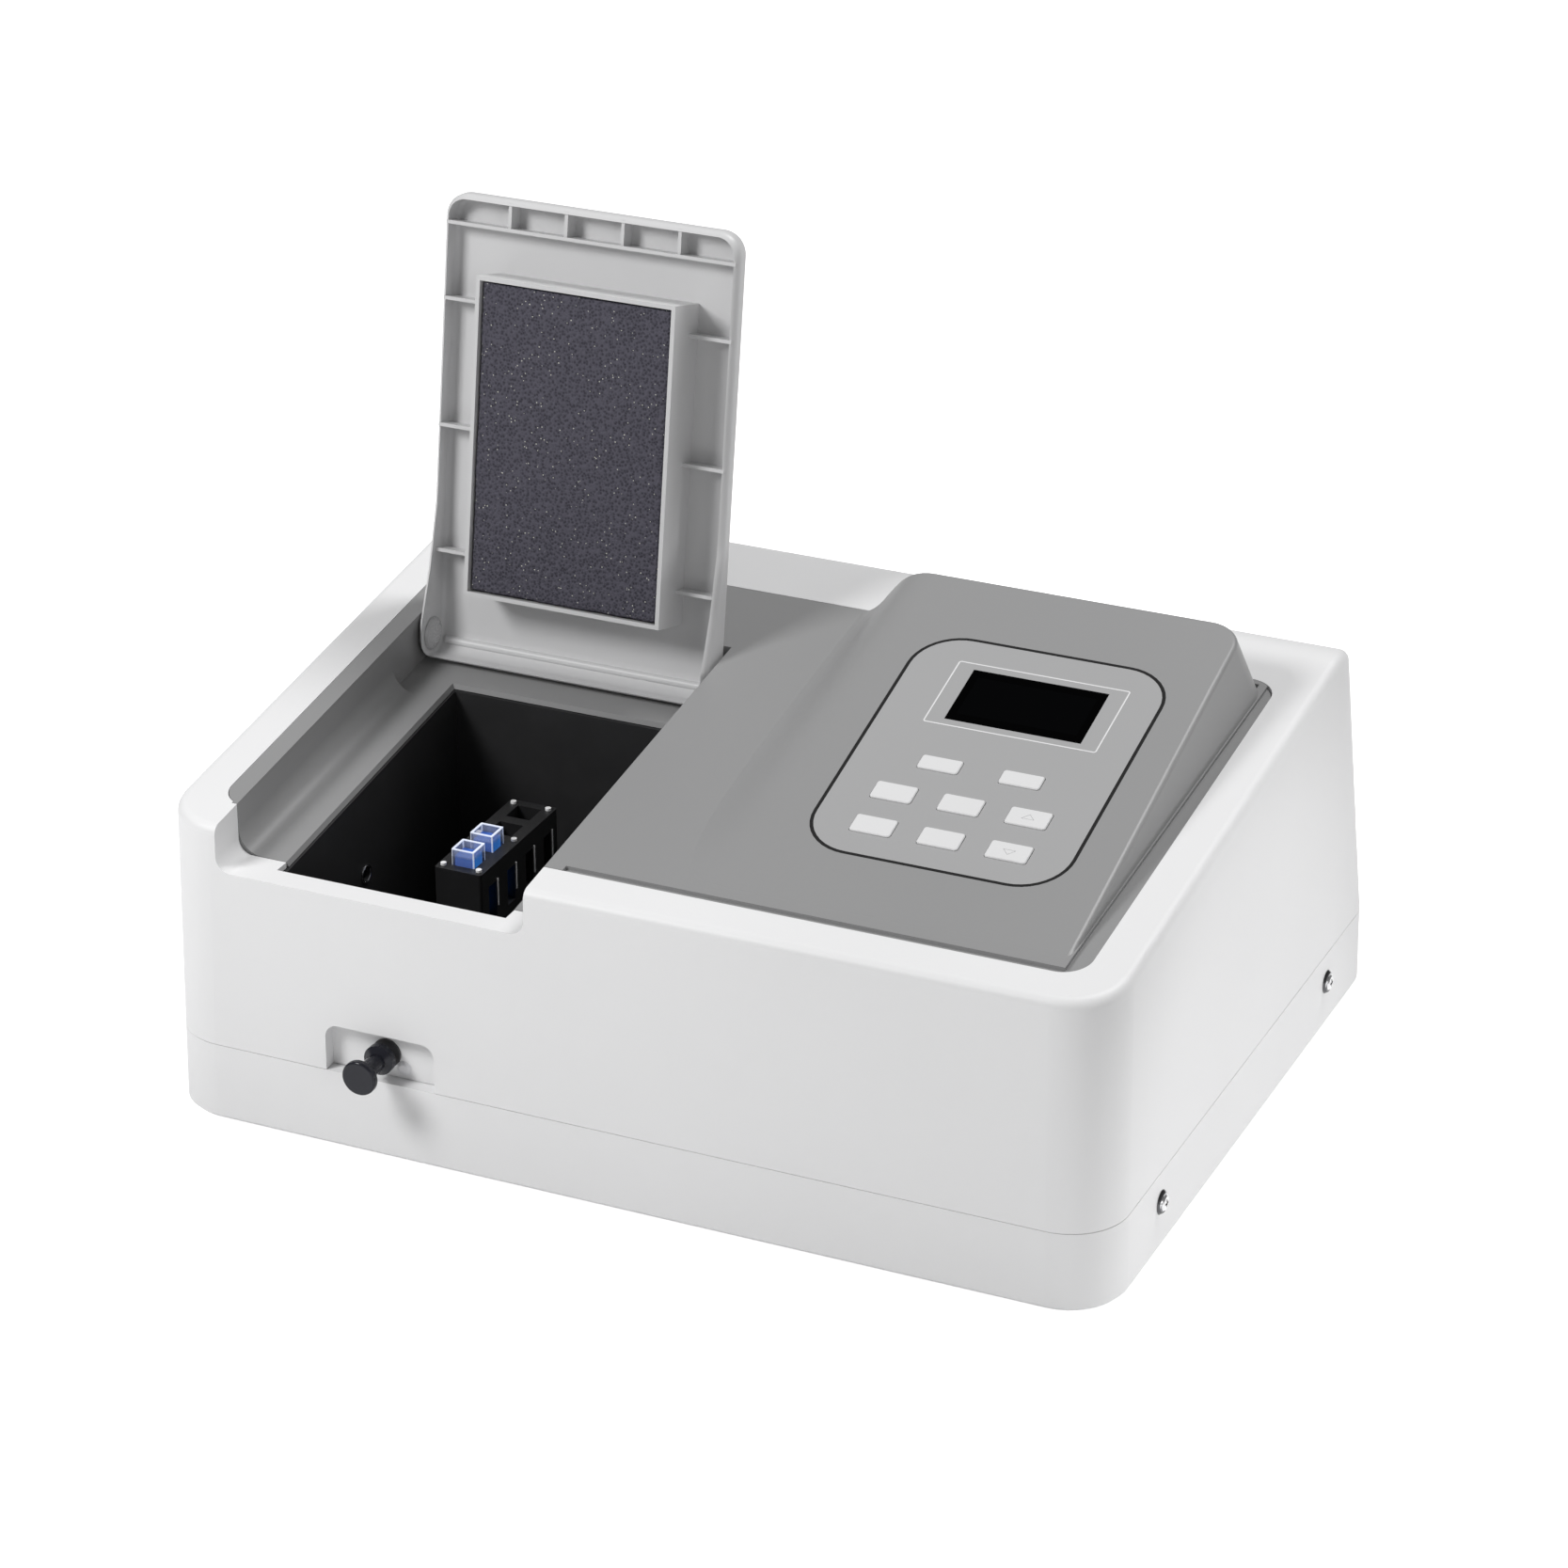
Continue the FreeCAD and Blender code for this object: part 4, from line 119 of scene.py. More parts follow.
class Finish:
    """A procedural material with one surface shader; its textures are laid out in metres."""

    def __init__(self, name):
        self.material = bpy.data.materials.new(name)
        self.material.use_nodes = True
        self.tree = self.material.node_tree
        self.surface = self.tree.nodes["Principled BSDF"]
        self.place = self.node("ShaderNodeTexCoord", {}, {}, "Object")

    def node(self, kind, settings, sockets, output=0):
        """A new node: its settings first, then the values or links of its sockets."""
        made = self.tree.nodes.new(kind)
        for key, setting in settings.items():
            if key == "stops":
                ramp = made.color_ramp
                for index, (position, colour) in enumerate(setting):
                    stop = ramp.elements[index] if index < 2 else ramp.elements.new(position)
                    stop.position = position
                    stop.color = colour
            else:
                setattr(made, key, setting)
        for key, given in sockets.items():
            self.feed(made.inputs[key], given)
        return Wire(self, made.outputs[output])

    def feed(self, socket, given):
        """Link a wire to a socket, or set the socket's value."""
        if isinstance(given, Wire):
            self.tree.links.new(given.socket, socket)
        elif isinstance(given, (tuple, list)) and len(given) == 3 and socket.type == "RGBA":
            socket.default_value = (*given, 1.0)
        else:
            socket.default_value = given

    def set(self, **inputs):
        """Values or links of the surface shader; an underscore stands for a space."""
        for key, given in inputs.items():
            self.feed(self.surface.inputs[key.replace("_", " ")], given)
        return self

    def noise(self, scale, detail=3.0, roughness=0.5, place=None):
        """Soft mottling, in grains per metre."""
        return self.node("ShaderNodeTexNoise", {}, {
            "Vector": place or self.place, "Scale": scale, "Detail": detail,
            "Roughness": roughness}, "Fac")

    def cells(self, scale):
        """Distance to scattered points, in cells per metre."""
        return self.node("ShaderNodeTexVoronoi", {"feature": "F1"},
                         {"Vector": self.place, "Scale": scale}, "Distance")

    def ramp(self, factor, *stops):
        """A colour that runs through the stops as the factor rises."""
        full = [(position, (*colour, 1.0)) for position, colour in stops]
        return self.node("ShaderNodeValToRGB", {"stops": full}, {"Fac": factor}, "Color")

    def blend(self, factor, first, second):
        """A colour between two."""
        return self.node("ShaderNodeMix", {"data_type": "RGBA"},
                         {"Factor": factor, 6: colour_of(first), 7: colour_of(second)}, 2)

    def axis(self, name):
        """One coordinate of the shaded point, in metres."""
        return self.node("ShaderNodeSeparateXYZ", {}, {0: self.place}, name)

    def bump(self, height, distance, strength):
        """Relief of a height field, in metres."""
        normal = self.node("ShaderNodeBump", {}, {
            "Height": height, "Distance": distance, "Strength": strength}, "Normal")
        return self.set(Normal=normal)


def colour_of(given):
    """A colour with its opacity; a wire stays as it is."""
    return (*given, 1.0) if isinstance(given, tuple) and len(given) == 3 else given


def tint(colour, share):
    """The same colour, lighter or darker."""
    return tuple(min(1.0, part * share) for part in colour)


# Finishes

def moulded(name, colour, rough=0.42, grain=1400.0, relief=0.06 * MM):
    """Satin surface, as of moulded plastic: fine grain, a slow drift of tone, a few scuffs."""
    finish = Finish(name)
    drift = finish.noise(9.0, 2.0)
    fine = finish.noise(grain, 2.0, 0.6)
    scuff = finish.noise(60.0, 6.0, 0.72).above(0.70) * 0.35
    base = finish.blend(drift, tint(colour, 0.975), tint(colour, 1.02))
    speck = finish.blend(fine * 0.10, base, tint(colour, 0.82))
    finish.set(Base_Color=speck, Roughness=rough + fine * 0.10 + scuff * 0.12, IOR=1.46)
    return finish.bump(fine, relief, 0.5)


def polished(name, colour, rough):
    """Glossy moulded plastic with thumb smears."""
    finish = Finish(name)
    smear = finish.noise(120.0, 4.0, 0.6)
    finish.set(Base_Color=finish.blend(smear * 0.4, colour, tint(colour, 1.7)),
               Roughness=rough + smear * 0.10, IOR=1.5, Specular_IOR_Level=0.25)
    return finish.bump(smear, 0.01 * MM, 0.3)


def painted_black(name, tone, rough=0.55):
    """Matt black paint over metal, with dust in its hollows."""
    finish = Finish(name)
    grain = finish.noise(2200.0, 2.0)
    dust = finish.noise(38.0, 5.0, 0.65)
    colour = finish.blend((dust - 0.42).clamped() * 0.5, (tone, tone, tone * 1.05),
                          (tone * 2.6, tone * 2.6, tone * 2.7))
    finish.set(Base_Color=colour, Roughness=rough + dust * 0.12)
    return finish.bump(grain, 0.05 * MM, 0.4)


def brushed(name, colour, axis="Z", rough=0.28):
    """Metal drawn along one axis: fine streaks across it."""
    finish = Finish(name)
    stretch = {"X": (12.0, 900.0, 900.0), "Y": (900.0, 12.0, 900.0), "Z": (900.0, 900.0, 12.0)}[axis]
    place = finish.node("ShaderNodeMapping", {}, {"Vector": finish.place, "Scale": stretch},
                        "Vector")
    streak = finish.noise(1.0, 3.0, 0.6, place)
    stain = finish.noise(45.0, 3.0)
    base = finish.blend(streak * 0.5, tint(colour, 0.86), tint(colour, 1.06))
    finish.set(Base_Color=finish.blend(stain * 0.2, base, tint(colour, 0.7)), Metallic=1.0,
               Roughness=rough + streak * 0.14)
    return finish.bump(streak, 0.02 * MM, 0.4)


def chromed(name, colour):
    """Bright plating with faint handling marks."""
    finish = Finish(name)
    mark = finish.noise(260.0, 4.0, 0.65)
    finish.set(Base_Color=finish.blend(mark * 0.3, colour, tint(colour, 0.8)), Metallic=1.0,
               Roughness=0.10 + mark * 0.14)
    return finish.bump(mark, 0.01 * MM, 0.3)


def around_screws(finish):
    """Distances from the axis of the nearest side screw: along Y, along Z and round it."""
    low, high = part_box("cup_washers")
    centre = (low + high) / 2
    reach = (high.z - low.z) / 2
    apart = (high.y - low.y) / 2 - reach
    along = ((finish.axis("Y") - centre.y).math("ABSOLUTE") - apart).math("ABSOLUTE")
    up = (finish.axis("Z") - centre.z).math("ABSOLUTE")
    return along, up, (along * along + up * up).math("SQRT")


def cup_washer():
    """Polished cup washer: its dished face has a painted reflection of the dark bench side below and the
    light above, and its rim a dark ring of painted shade.
    """
    finish = Finish("washer_finish")
    round_axis = around_screws(finish)[2]
    low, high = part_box("cup_washers")
    level = (finish.axis("Z") - low.z) / (high.z - low.z)
    shaded_rim_width = 0.9 * MM
    # The rim ring is painted dark (0.10) as the shade in the gap round the washer.
    rim = round_axis.above((high.z - low.z) / 2 - shaded_rim_width)
    mark = finish.noise(900.0, 3.0)
    # Painted reflection: the dish runs from near-black low down to bright near the top, as its
    # surroundings would mirror in it.
    painted_reflection = finish.ramp(level + (mark - 0.5) * 0.1, (0.10, (0.012, 0.012, 0.013)),
                       (0.42, (0.16, 0.16, 0.17)), (0.62, (0.75, 0.75, 0.76)), (0.95, (0.30, 0.30, 0.31)))
    finish.set(Base_Color=finish.blend(rim, painted_reflection, (0.10, 0.10, 0.105)), Metallic=1.0,
               Roughness=0.16 + mark * 0.1)
    return finish.bump(mark, 0.01 * MM, 0.2)


def screw_head():
    """Plated screw with a cross recess in its head, painted near-black as the recess's shade and pressed
    in by a bump.
    """
    finish = Finish("screw_finish")
    along, up, round_axis = around_screws(finish)
    slot_half, slot_reach = 0.55 * MM, 2.1 * MM
    arm = (along.below(slot_half) + up.below(slot_half)).clamped()
    shaded_recess = arm * round_axis.below(slot_reach)
    mark = finish.noise(1200.0, 3.0)
    shine = finish.blend(mark * 0.4, (0.78, 0.78, 0.79), (0.50, 0.50, 0.51))
    # Painted shade: the cross recess is near-black and less metallic.
    finish.set(Base_Color=finish.blend(shaded_recess, shine, (0.006, 0.006, 0.006)),
               Metallic=1.0 - shaded_recess * 0.9, Roughness=0.2 + shaded_recess * 0.5 + mark * 0.06)
    return finish.bump(1.0 - shaded_recess, 0.6 * MM, 0.8)


def cell_edges(finish):
    """Where a sample cell is seen through its ground edges: the four corners and the rim."""
    low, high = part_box("cuvettes")
    centre = (low + high) / 2
    half = (high.x - low.x) / 2
    apart = (high.y - low.y) / 2 - half
    edge_width, rim_height = 0.6 * MM, 0.35 * MM
    across = (finish.axis("X") - centre.x).math("ABSOLUTE")
    along = ((finish.axis("Y") - centre.y).math("ABSOLUTE") - apart).math("ABSOLUTE")
    corner = across.above(half - edge_width) * along.above(half - edge_width)
    rim = finish.axis("Z").above(high.z - rim_height) * 0.8
    return (corner + rim).clamped()


def cell_glass():
    """Clear sample cell: faint walls, greyer above the liquid, and bright ground edges; the bright edges
    are painted highlights, and walls and edges glow with painted emission.
    """
    finish = Finish("cuvette_finish")
    highlit_edge = cell_edges(finish)
    smear = finish.noise(380.0, 4.0, 0.6)
    dry = finish.axis("Z").above(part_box("cuvette_liquids")[1].z)
    # Painted glow: the walls emit a faint blue-grey, greyer above the liquid.
    wall = finish.blend(dry, (0.0, 0.02, 0.08), (0.12, 0.14, 0.21))
    # Painted highlight: the ground edges and rim are made pale, more opaque and brightly emissive.
    finish.set(Base_Color=finish.blend(highlit_edge, (0.36, 0.42, 0.60), (0.90, 0.93, 1.0)),
               Roughness=0.06 + smear * 0.06, IOR=1.47,
               Alpha=0.07 + dry * 0.20 + highlit_edge * 0.60 + smear * 0.10,
               Emission_Color=finish.blend(highlit_edge, wall, (0.58, 0.64, 0.80)), Emission_Strength=0.50)
    return finish


def blue_liquid():
    """Blue sample: deep below, lighter near its surface and brightest on the lit side, a painted
    highlight; it glows with its own tone as painted light.
    """
    finish = Finish("liquid_finish")
    low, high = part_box("cuvette_liquids")
    level = (finish.axis("Z") - low.z) / (high.z - low.z)
    swirl = finish.noise(260.0, 2.0)
    skin = 0.2 * MM
    # Painted highlight on the right face, the lit side.
    lit_side = finish.axis("X").above(high.x - skin) * (0.4 + swirl)
    deep = finish.blend((level * level * level).clamped(), (0.01, 0.03, 0.20), (0.035, 0.10, 0.40))
    tone = finish.blend(lit_side.clamped(), deep, (0.01, 0.24, 0.80))
    # Painted glow: the tone is also emitted.
    finish.set(Base_Color=finish.blend(swirl * 0.3, tone, (0.05, 0.22, 0.70)),
               Roughness=0.06 + swirl * 0.04, IOR=1.34, Alpha=0.90 + swirl * 0.05,
               Emission_Color=tone, Emission_Strength=0.30)
    return finish


def clear(name, colour):
    """Clear glass with faint smears on it."""
    finish = Finish(name)
    smear = finish.noise(180.0, 4.0, 0.6)
    finish.set(Base_Color=finish.blend(smear * 0.3, colour, tint(colour, 0.9)),
               Roughness=0.03 + smear * 0.05, IOR=1.47, Transmission_Weight=1.0)
    return finish


def rubber():
    """Black rubber with a grey bloom."""
    finish = Finish("foot_rubber_finish")
    bloom = finish.noise(70.0, 5.0, 0.6)
    grain = finish.noise(3000.0, 2.0)
    finish.set(Base_Color=finish.blend(bloom * 0.4, (0.012, 0.012, 0.012), (0.05, 0.05, 0.052)),
               Roughness=0.72 + bloom * 0.15)
    return finish.bump(grain, 0.08 * MM, 0.5)


def circuit_board():
    """Green solder mask over straight tracks, with tinned pads in rows."""
    finish = Finish("board_finish")
    track_pitch = 2.5 * MM
    across, along = finish.axis("X") * (1 / track_pitch), finish.axis("Y") * (1 / track_pitch)
    lane = (across.math("FRACT") - 0.5).math("ABSOLUTE")
    row = (along.math("FRACT") - 0.5).math("ABSOLUTE")
    choice = finish.noise(55.0, 1.0).above(0.5)
    half_track, pad_reach_squared = 0.18, 0.03      # in shares of the pitch
    track = (lane.below(half_track) * choice + row.below(half_track) * (1.0 - choice)).clamped()
    pad = (lane * lane + row * row).below(pad_reach_squared) * finish.noise(90.0, 1.0).above(0.56)
    mask = finish.blend(track * 0.6, (0.012, 0.085, 0.03), (0.02, 0.16, 0.05))
    finish.set(Base_Color=finish.blend(pad, mask, (0.62, 0.58, 0.42)), Metallic=pad * 0.9,
               Roughness=0.34 - pad * 0.1)
    return finish.bump(track + pad, 0.04 * MM, 0.6)


def foam():
    """Open-cell foam: dark cells, painted darker still in their hollows as shade, and pale dust caught on
    their edges.
    """
    finish = Finish("foam_dark_finish")
    pores = finish.cells(620.0)
    small = finish.cells(1500.0)
    patchy = finish.noise(60.0, 3.0, 0.6)
    dust = (finish.cells(330.0).below(0.10) + finish.cells(210.0).below(0.07)) * patchy.above(0.42)
    # Painted shade: darker towards each pore's centre, where the bump makes the hollow.
    base = finish.blend((pores * 1.6).clamped(), (0.030, 0.029, 0.039), (0.095, 0.091, 0.115))
    finish.set(Base_Color=finish.blend(dust.clamped() * 0.9, base, (0.62, 0.62, 0.56)), Roughness=0.95,
               Specular_IOR_Level=0.2)
    return finish.bump(pores * 0.7 + small * 0.3, 1.1 * MM, 0.9)


def display_glass():
    """The unlit display: near-black glass over a slightly lighter active field."""
    finish = Finish("display_glass_finish")
    low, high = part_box("display_window")
    centre = (low + high) / 2
    across = (finish.axis("X") - centre.x).math("ABSOLUTE")
    along = (finish.axis("Y") - centre.y).math("ABSOLUTE")
    field_half_width, field_half_depth = 0.44, 0.36     # in shares of the window
    field = (across.below((high.x - low.x) * field_half_width)
             * along.below((high.y - low.y) * field_half_depth))
    pixels_per_metre, line_share = 2600.0, 0.15
    pixel_lines = ((finish.axis("X") * pixels_per_metre).math("FRACT").below(line_share)
                   + (finish.axis("Y") * pixels_per_metre).math("FRACT").below(line_share)).clamped()
    smear = finish.noise(75.0, 4.0, 0.6)
    glass = finish.blend(field * (1.0 - pixel_lines * 0.4), (0.0006, 0.0006, 0.0007),
                         (0.0012, 0.0013, 0.0015))
    finish.set(Base_Color=glass, Roughness=0.12 + smear * 0.12, IOR=1.12, Specular_IOR_Level=0.2)
    return finish


# One finish for each slot of the parts; colours are linear, grain in grains per metre
FINISHES = {
    "cover_plastic": lambda: moulded("cover_plastic_finish", (0.80, 0.80, 0.805)),
    "tray_plastic": lambda: moulded("tray_plastic_finish", (0.80, 0.80, 0.805)),
    "panel_plastic": lambda: moulded("panel_plastic_finish", (0.285, 0.285, 0.287), 0.36, 1600.0),
    "lid_plastic": lambda: moulded("lid_plastic_finish", (0.62, 0.62, 0.625), 0.34, 1600.0),
    "overlay_film": lambda: moulded("overlay_film_finish", (0.37, 0.37, 0.373), 0.34, 2600.0, 0.02 * MM),
    "key_plastic": lambda: moulded("key_plastic_finish", (0.72, 0.72, 0.725), 0.32, 2600.0, 0.02 * MM),
    "plug_plastic": lambda: moulded("plug_plastic_finish", (0.70, 0.70, 0.72), 0.3),
    "knob_black": lambda: polished("knob_black_finish", (0.014, 0.0145, 0.020), 0.13),
    "rocker_black": lambda: polished("rocker_black_finish", (0.012, 0.012, 0.012), 0.24),
    "bush_plastic": lambda: moulded("bush_plastic_finish", (0.03, 0.03, 0.032), 0.4),
    "module_black": lambda: moulded("module_black_finish", (0.02, 0.02, 0.02)),
    "switch_black": lambda: moulded("switch_black_finish", (0.03, 0.03, 0.03)),
    "inlet_black": lambda: moulded("inlet_black_finish", (0.02, 0.02, 0.02)),
    "rocker_frame_black": lambda: moulded("rocker_frame_finish", (0.02, 0.02, 0.02)),
    "fan_black": lambda: moulded("fan_black_finish", (0.02, 0.02, 0.021), 0.36),
    "rotor_black": lambda: moulded("rotor_black_finish", (0.025, 0.025, 0.026), 0.36),
    "chip_black": lambda: moulded("chip_black_finish", (0.02, 0.02, 0.02), 0.5),
    "ceramic_white": lambda: moulded("ceramic_finish", (0.72, 0.70, 0.63), 0.5, 900.0, 0.1 * MM),
    "box_black": lambda: painted_black("box_black_finish", 0.018, 0.5),
    "carriage_black": lambda: painted_black("carriage_finish", 0.012, 0.4),
    "holder_black": lambda: painted_black("holder_finish", 0.014, 0.36),
    "mono_black": lambda: painted_black("mono_finish", 0.014),
    "mono_cover_black": lambda: painted_black("mono_cover_finish", 0.014),
    "tube_black": lambda: painted_black("tube_finish", 0.012),
    "wheel_black": lambda: painted_black("wheel_finish", 0.016, 0.4),
    "detector_black": lambda: painted_black("detector_finish", 0.014),
    "pin_steel": lambda: moulded("pin_finish", (0.50, 0.50, 0.505), 0.22, 900.0, 0.02 * MM),
    "screw_steel": screw_head,
    "washer_chrome": cup_washer,
    "plunger_steel": lambda: brushed("plunger_finish", (0.55, 0.55, 0.57)),
    "rail_steel": lambda: brushed("rail_finish", (0.55, 0.55, 0.57), "Y", 0.2),
    "holder_screw_steel": lambda: moulded("holder_screw_finish", (0.92, 0.92, 0.92), 0.3, 900.0,
                                          0.01 * MM),
    "rod_steel": lambda: brushed("rod_finish", (0.6, 0.6, 0.62), "Y", 0.18),
    "plate_aluminium": lambda: brushed("plate_finish", (0.6, 0.6, 0.61), "X", 0.42),
    "motor_steel": lambda: brushed("motor_finish", (0.35, 0.35, 0.36)),
    "table_aluminium": lambda: brushed("table_finish", (0.6, 0.6, 0.61)),
    "filter_motor_steel": lambda: brushed("filter_motor_finish", (0.42, 0.42, 0.43), "X"),
    "house_steel": lambda: brushed("house_finish", (0.55, 0.55, 0.57)),
    "supply_steel": lambda: brushed("supply_finish", (0.55, 0.55, 0.57), "X"),
    "serial_steel": lambda: brushed("serial_finish", (0.6, 0.6, 0.62), "Y"),
    "grating_glass": lambda: chromed("grating_finish", (0.72, 0.74, 0.82)),
    "mirror_glass": lambda: chromed("mirror_finish", (0.86, 0.86, 0.88)),
    "cuvette_glass": cell_glass,
    "liquid_blue": blue_liquid,
    "filter_glass": lambda: clear("filter_glass_finish", (0.5, 0.12, 0.05)),
    "lens_glass": lambda: clear("lens_finish", (0.96, 0.98, 1.0)),
    "lamp_glass": lambda: clear("lamp_finish", (0.96, 0.96, 0.95)),
    "foot_rubber": rubber,
    "board_green": circuit_board,
    "foam_dark": foam,
    "display_glass": display_glass,
}
# Slots that share the finish of another slot
SHARED = {"detector_board_green": "board_green", "main_board_green": "board_green"}


def dress_nodes():
    """Give every node the finish of its slot."""
    made = {}
    for entry in frame["record"]["subparts"]:
        key = SHARED.get(entry["material_slot"], entry["material_slot"])
        if key not in made:
            made[key] = FINISHES[key]().material
        mesh = NODES[entry["node"]].data
        mesh.materials.clear()
        mesh.materials.append(made[key])
    return made


# Mesh tools

def start_fresh():
    """Leave edit mode and select nothing."""
    if bpy.context.object and bpy.context.object.mode != "OBJECT":
        bpy.ops.object.mode_set(mode="OBJECT")
    bpy.ops.object.select_all(action="DESELECT")


def take(piece, name):
    """Name the new piece and make it the active one."""
    piece.name = name
    piece.data.name = name
    bpy.context.view_layer.objects.active = piece
    piece.select_set(True)
    return piece


def apply_modifiers(piece):
    """Bake a piece's modifiers into its mesh, in their order."""
    bpy.context.view_layer.objects.active = piece
    for modifier in list(piece.modifiers):
        bpy.ops.object.modifier_apply(modifier=modifier.name)


def put_in_mesh(piece, place):
    """Move a piece's mesh to its place and leave its object at the origin."""
    piece.data.transform(place @ piece.matrix_world)
    piece.matrix_world = Matrix.Identity(4)


def attach(piece, material, node, replaces=()):
    """Give a finished piece its finish, its body and what it stands for."""
    piece.data.materials.clear()
    piece.data.materials.append(material)
    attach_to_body(piece, BODY_OF[node])
    if replaces:
        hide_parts(*replaces)


def copy_of(node, name):
    """A merged copy of a node's mesh."""
    weld_reach, flat_angle = 0.001 * MM, math.radians(0.5)
    start_fresh()
    piece = bpy.data.objects.new(name, NODES[node].data.copy())
    bpy.context.scene.collection.objects.link(piece)
    take(piece, name)
    solid = bmesh.new()
    solid.from_mesh(piece.data)
    bmesh.ops.remove_doubles(solid, verts=solid.verts, dist=weld_reach)
    bmesh.ops.dissolve_limit(solid, angle_limit=flat_angle, verts=solid.verts, edges=solid.edges)
    solid.to_mesh(piece.data)
    solid.free()
    return piece


# The console's own frame

def console_place(point):
    """The console's own frame at a point: X to the right, Y up the slope, Z out of the face."""
    return Matrix.Translation(point) @ Matrix.Rotation(CONSOLE_SLOPE, 4, "X")


def console_normal():
    """The direction straight out of the console's face."""
    return Vector((0.0, -math.sin(CONSOLE_SLOPE), math.cos(CONSOLE_SLOPE)))


def face_centre(node, lift):
    """A point above the middle of a console piece, lifted from the middle of its thickness."""
    low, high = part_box(node)
    return (low + high) / 2 + console_normal() * lift


def height_on_console(point):
    """Height of a point over the middle of the keypad film, square to the console."""
    return (point - face_centre("keypad_overlay", 0.0)).dot(console_normal())


# Pieces of the looks

def foam_pad(finishes):
    """The foam pad in the lid: cut foam with an uneven face and soft edges."""
    pad = copy_of("lid_foam", "foam_pad")
    edge_round, cell_size = 1.6 * MM, 1.3 * MM
    reliefs = (("hollows", 14.0 * MM, 0.9 * MM), ("pores", 2.4 * MM, 0.55 * MM))
    bevel = pad.modifiers.new("soft_edge", "BEVEL")
    bevel.width = edge_round
    bevel.segments = 3
    remesh = pad.modifiers.new("cells", "REMESH")
    remesh.mode = "VOXEL"
    remesh.voxel_size = cell_size
    for name, grain, depth in reliefs:
        pattern = bpy.data.textures.new("foam_" + name, "CLOUDS")
        pattern.noise_scale = grain
        relief = pad.modifiers.new(name, "DISPLACE")
        relief.texture = pattern
        relief.texture_coords = "LOCAL"
        relief.strength = -depth
        relief.mid_level = 0.2
    apply_modifiers(pad)
    for face in pad.data.polygons:
        face.use_smooth = True
    attach(pad, finishes["foam_dark"], "lid_foam", ["lid_foam"])


def flat_ring(name, width, length, corner, line, thick):
    """A flat rounded ring: its outside measures width by length, its own width is line."""
    start_fresh()
    bpy.ops.mesh.primitive_plane_add(size=1.0)
    ring = take(bpy.context.object, name)
    ring.data.transform(Matrix.Diagonal((width, length, 1.0, 1.0)))
    bpy.ops.object.mode_set(mode="EDIT")
    bpy.ops.mesh.select_all(action="SELECT")
    bpy.ops.mesh.bevel(offset=corner, segments=CORNER_STEPS, affect="VERTICES")
    bpy.ops.mesh.inset(thickness=line, depth=0.0)
    bpy.ops.mesh.delete(type="FACE")
    bpy.ops.mesh.select_all(action="SELECT")
    bpy.ops.mesh.extrude_region_move(TRANSFORM_OT_translate={"value": (0, 0, thick)})
    bpy.ops.mesh.select_all(action="SELECT")
    bpy.ops.mesh.normals_make_consistent(inside=False)
    bpy.ops.object.mode_set(mode="OBJECT")
    return ring


def display_border():
    """The thin pale line printed round the display."""
    low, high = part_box("display_window")
    side_margin, length, corner, line = 9.6 * MM, 48.7 * MM, 1.5 * MM, 0.75 * MM
    width = high.x - low.x + 2 * side_margin
    border = flat_ring("display_border", width, length, corner, line, PRINT_THICK)
    put_in_mesh(border, console_place(face_centre("display_window", DISPLAY_HALF + DISPLAY_LIFT)))
    ink = moulded("border_ink_finish", (0.74, 0.74, 0.745), 0.4, 2600.0, 0.01 * MM).material
    attach(border, ink, "keypad_overlay")


def overlay_gap_shade():
    """A near-black ring laid in the gap round the keypad film, as painted shade that darkens the gap."""
    low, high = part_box("keypad_overlay")
    gap, corner, line, proud = 0.9 * MM, 25.8 * MM, 1.8 * MM, 0.02 * MM
    width = high.x - low.x + 2 * gap
    length = (high.y - low.y) / math.cos(CONSOLE_SLOPE) + 2 * gap
    gap_shade = flat_ring("overlay_gap_shade", width, length, corner, line, FILM_HALF)
    put_in_mesh(gap_shade, console_place(face_centre("keypad_overlay", proud)))
    # Painted shade: near-black and rough, so the gap reads dark.
    black = moulded("gap_shade_finish", (0.004, 0.004, 0.004), 0.8).material
    attach(gap_shade, black, "keypad_overlay")


def key_arrow(node, turn):
    """The outline of an arrowhead on a key cap, pointing up or down the console."""
    reach, line_radius = 3.6 * MM, 0.26 * MM
    height_share, relief_share = 0.62, 0.3
    start_fresh()
    bpy.ops.mesh.primitive_torus_add(major_radius=reach, minor_radius=line_radius,
                                     major_segments=3, minor_segments=8)
    arrow = take(bpy.context.object, node.replace("key", "arrow"))
    upright = Matrix.Rotation(math.radians(90) + turn, 4, "Z")
    arrow.data.transform(Matrix.Diagonal((1.0, height_share, relief_share, 1.0)) @ upright)
    low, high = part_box(node)
    middle = (low + high) / 2
    cap = NODES[node]
    top = max(height_on_console(cap.matrix_world @ corner.co) for corner in cap.data.vertices)
    lift = top - height_on_console(middle)
    put_in_mesh(arrow, console_place(middle + console_normal() * lift))
    return arrow


def beam_ring():
    """The bright ring of the beam's window in the left wall of the compartment."""
    ring_radius, wire_radius, wall = 4.4 * MM, 0.6 * MM, 2.2 * MM
    start_fresh()
    bpy.ops.mesh.primitive_torus_add(major_radius=ring_radius, minor_radius=wire_radius,
                                     major_segments=36, minor_segments=10)
    ring = take(bpy.context.object, "beam_ring")
    low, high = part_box("sample_box")
    place = Vector((low.x + wall, BEAM_Y, BEAM_Z))
    put_in_mesh(ring, Matrix.Translation(place) @ Matrix.Rotation(math.radians(90), 4, "Y"))
    attach(ring, chromed("beam_ring_finish", (0.5, 0.5, 0.52)).material, "sample_box")


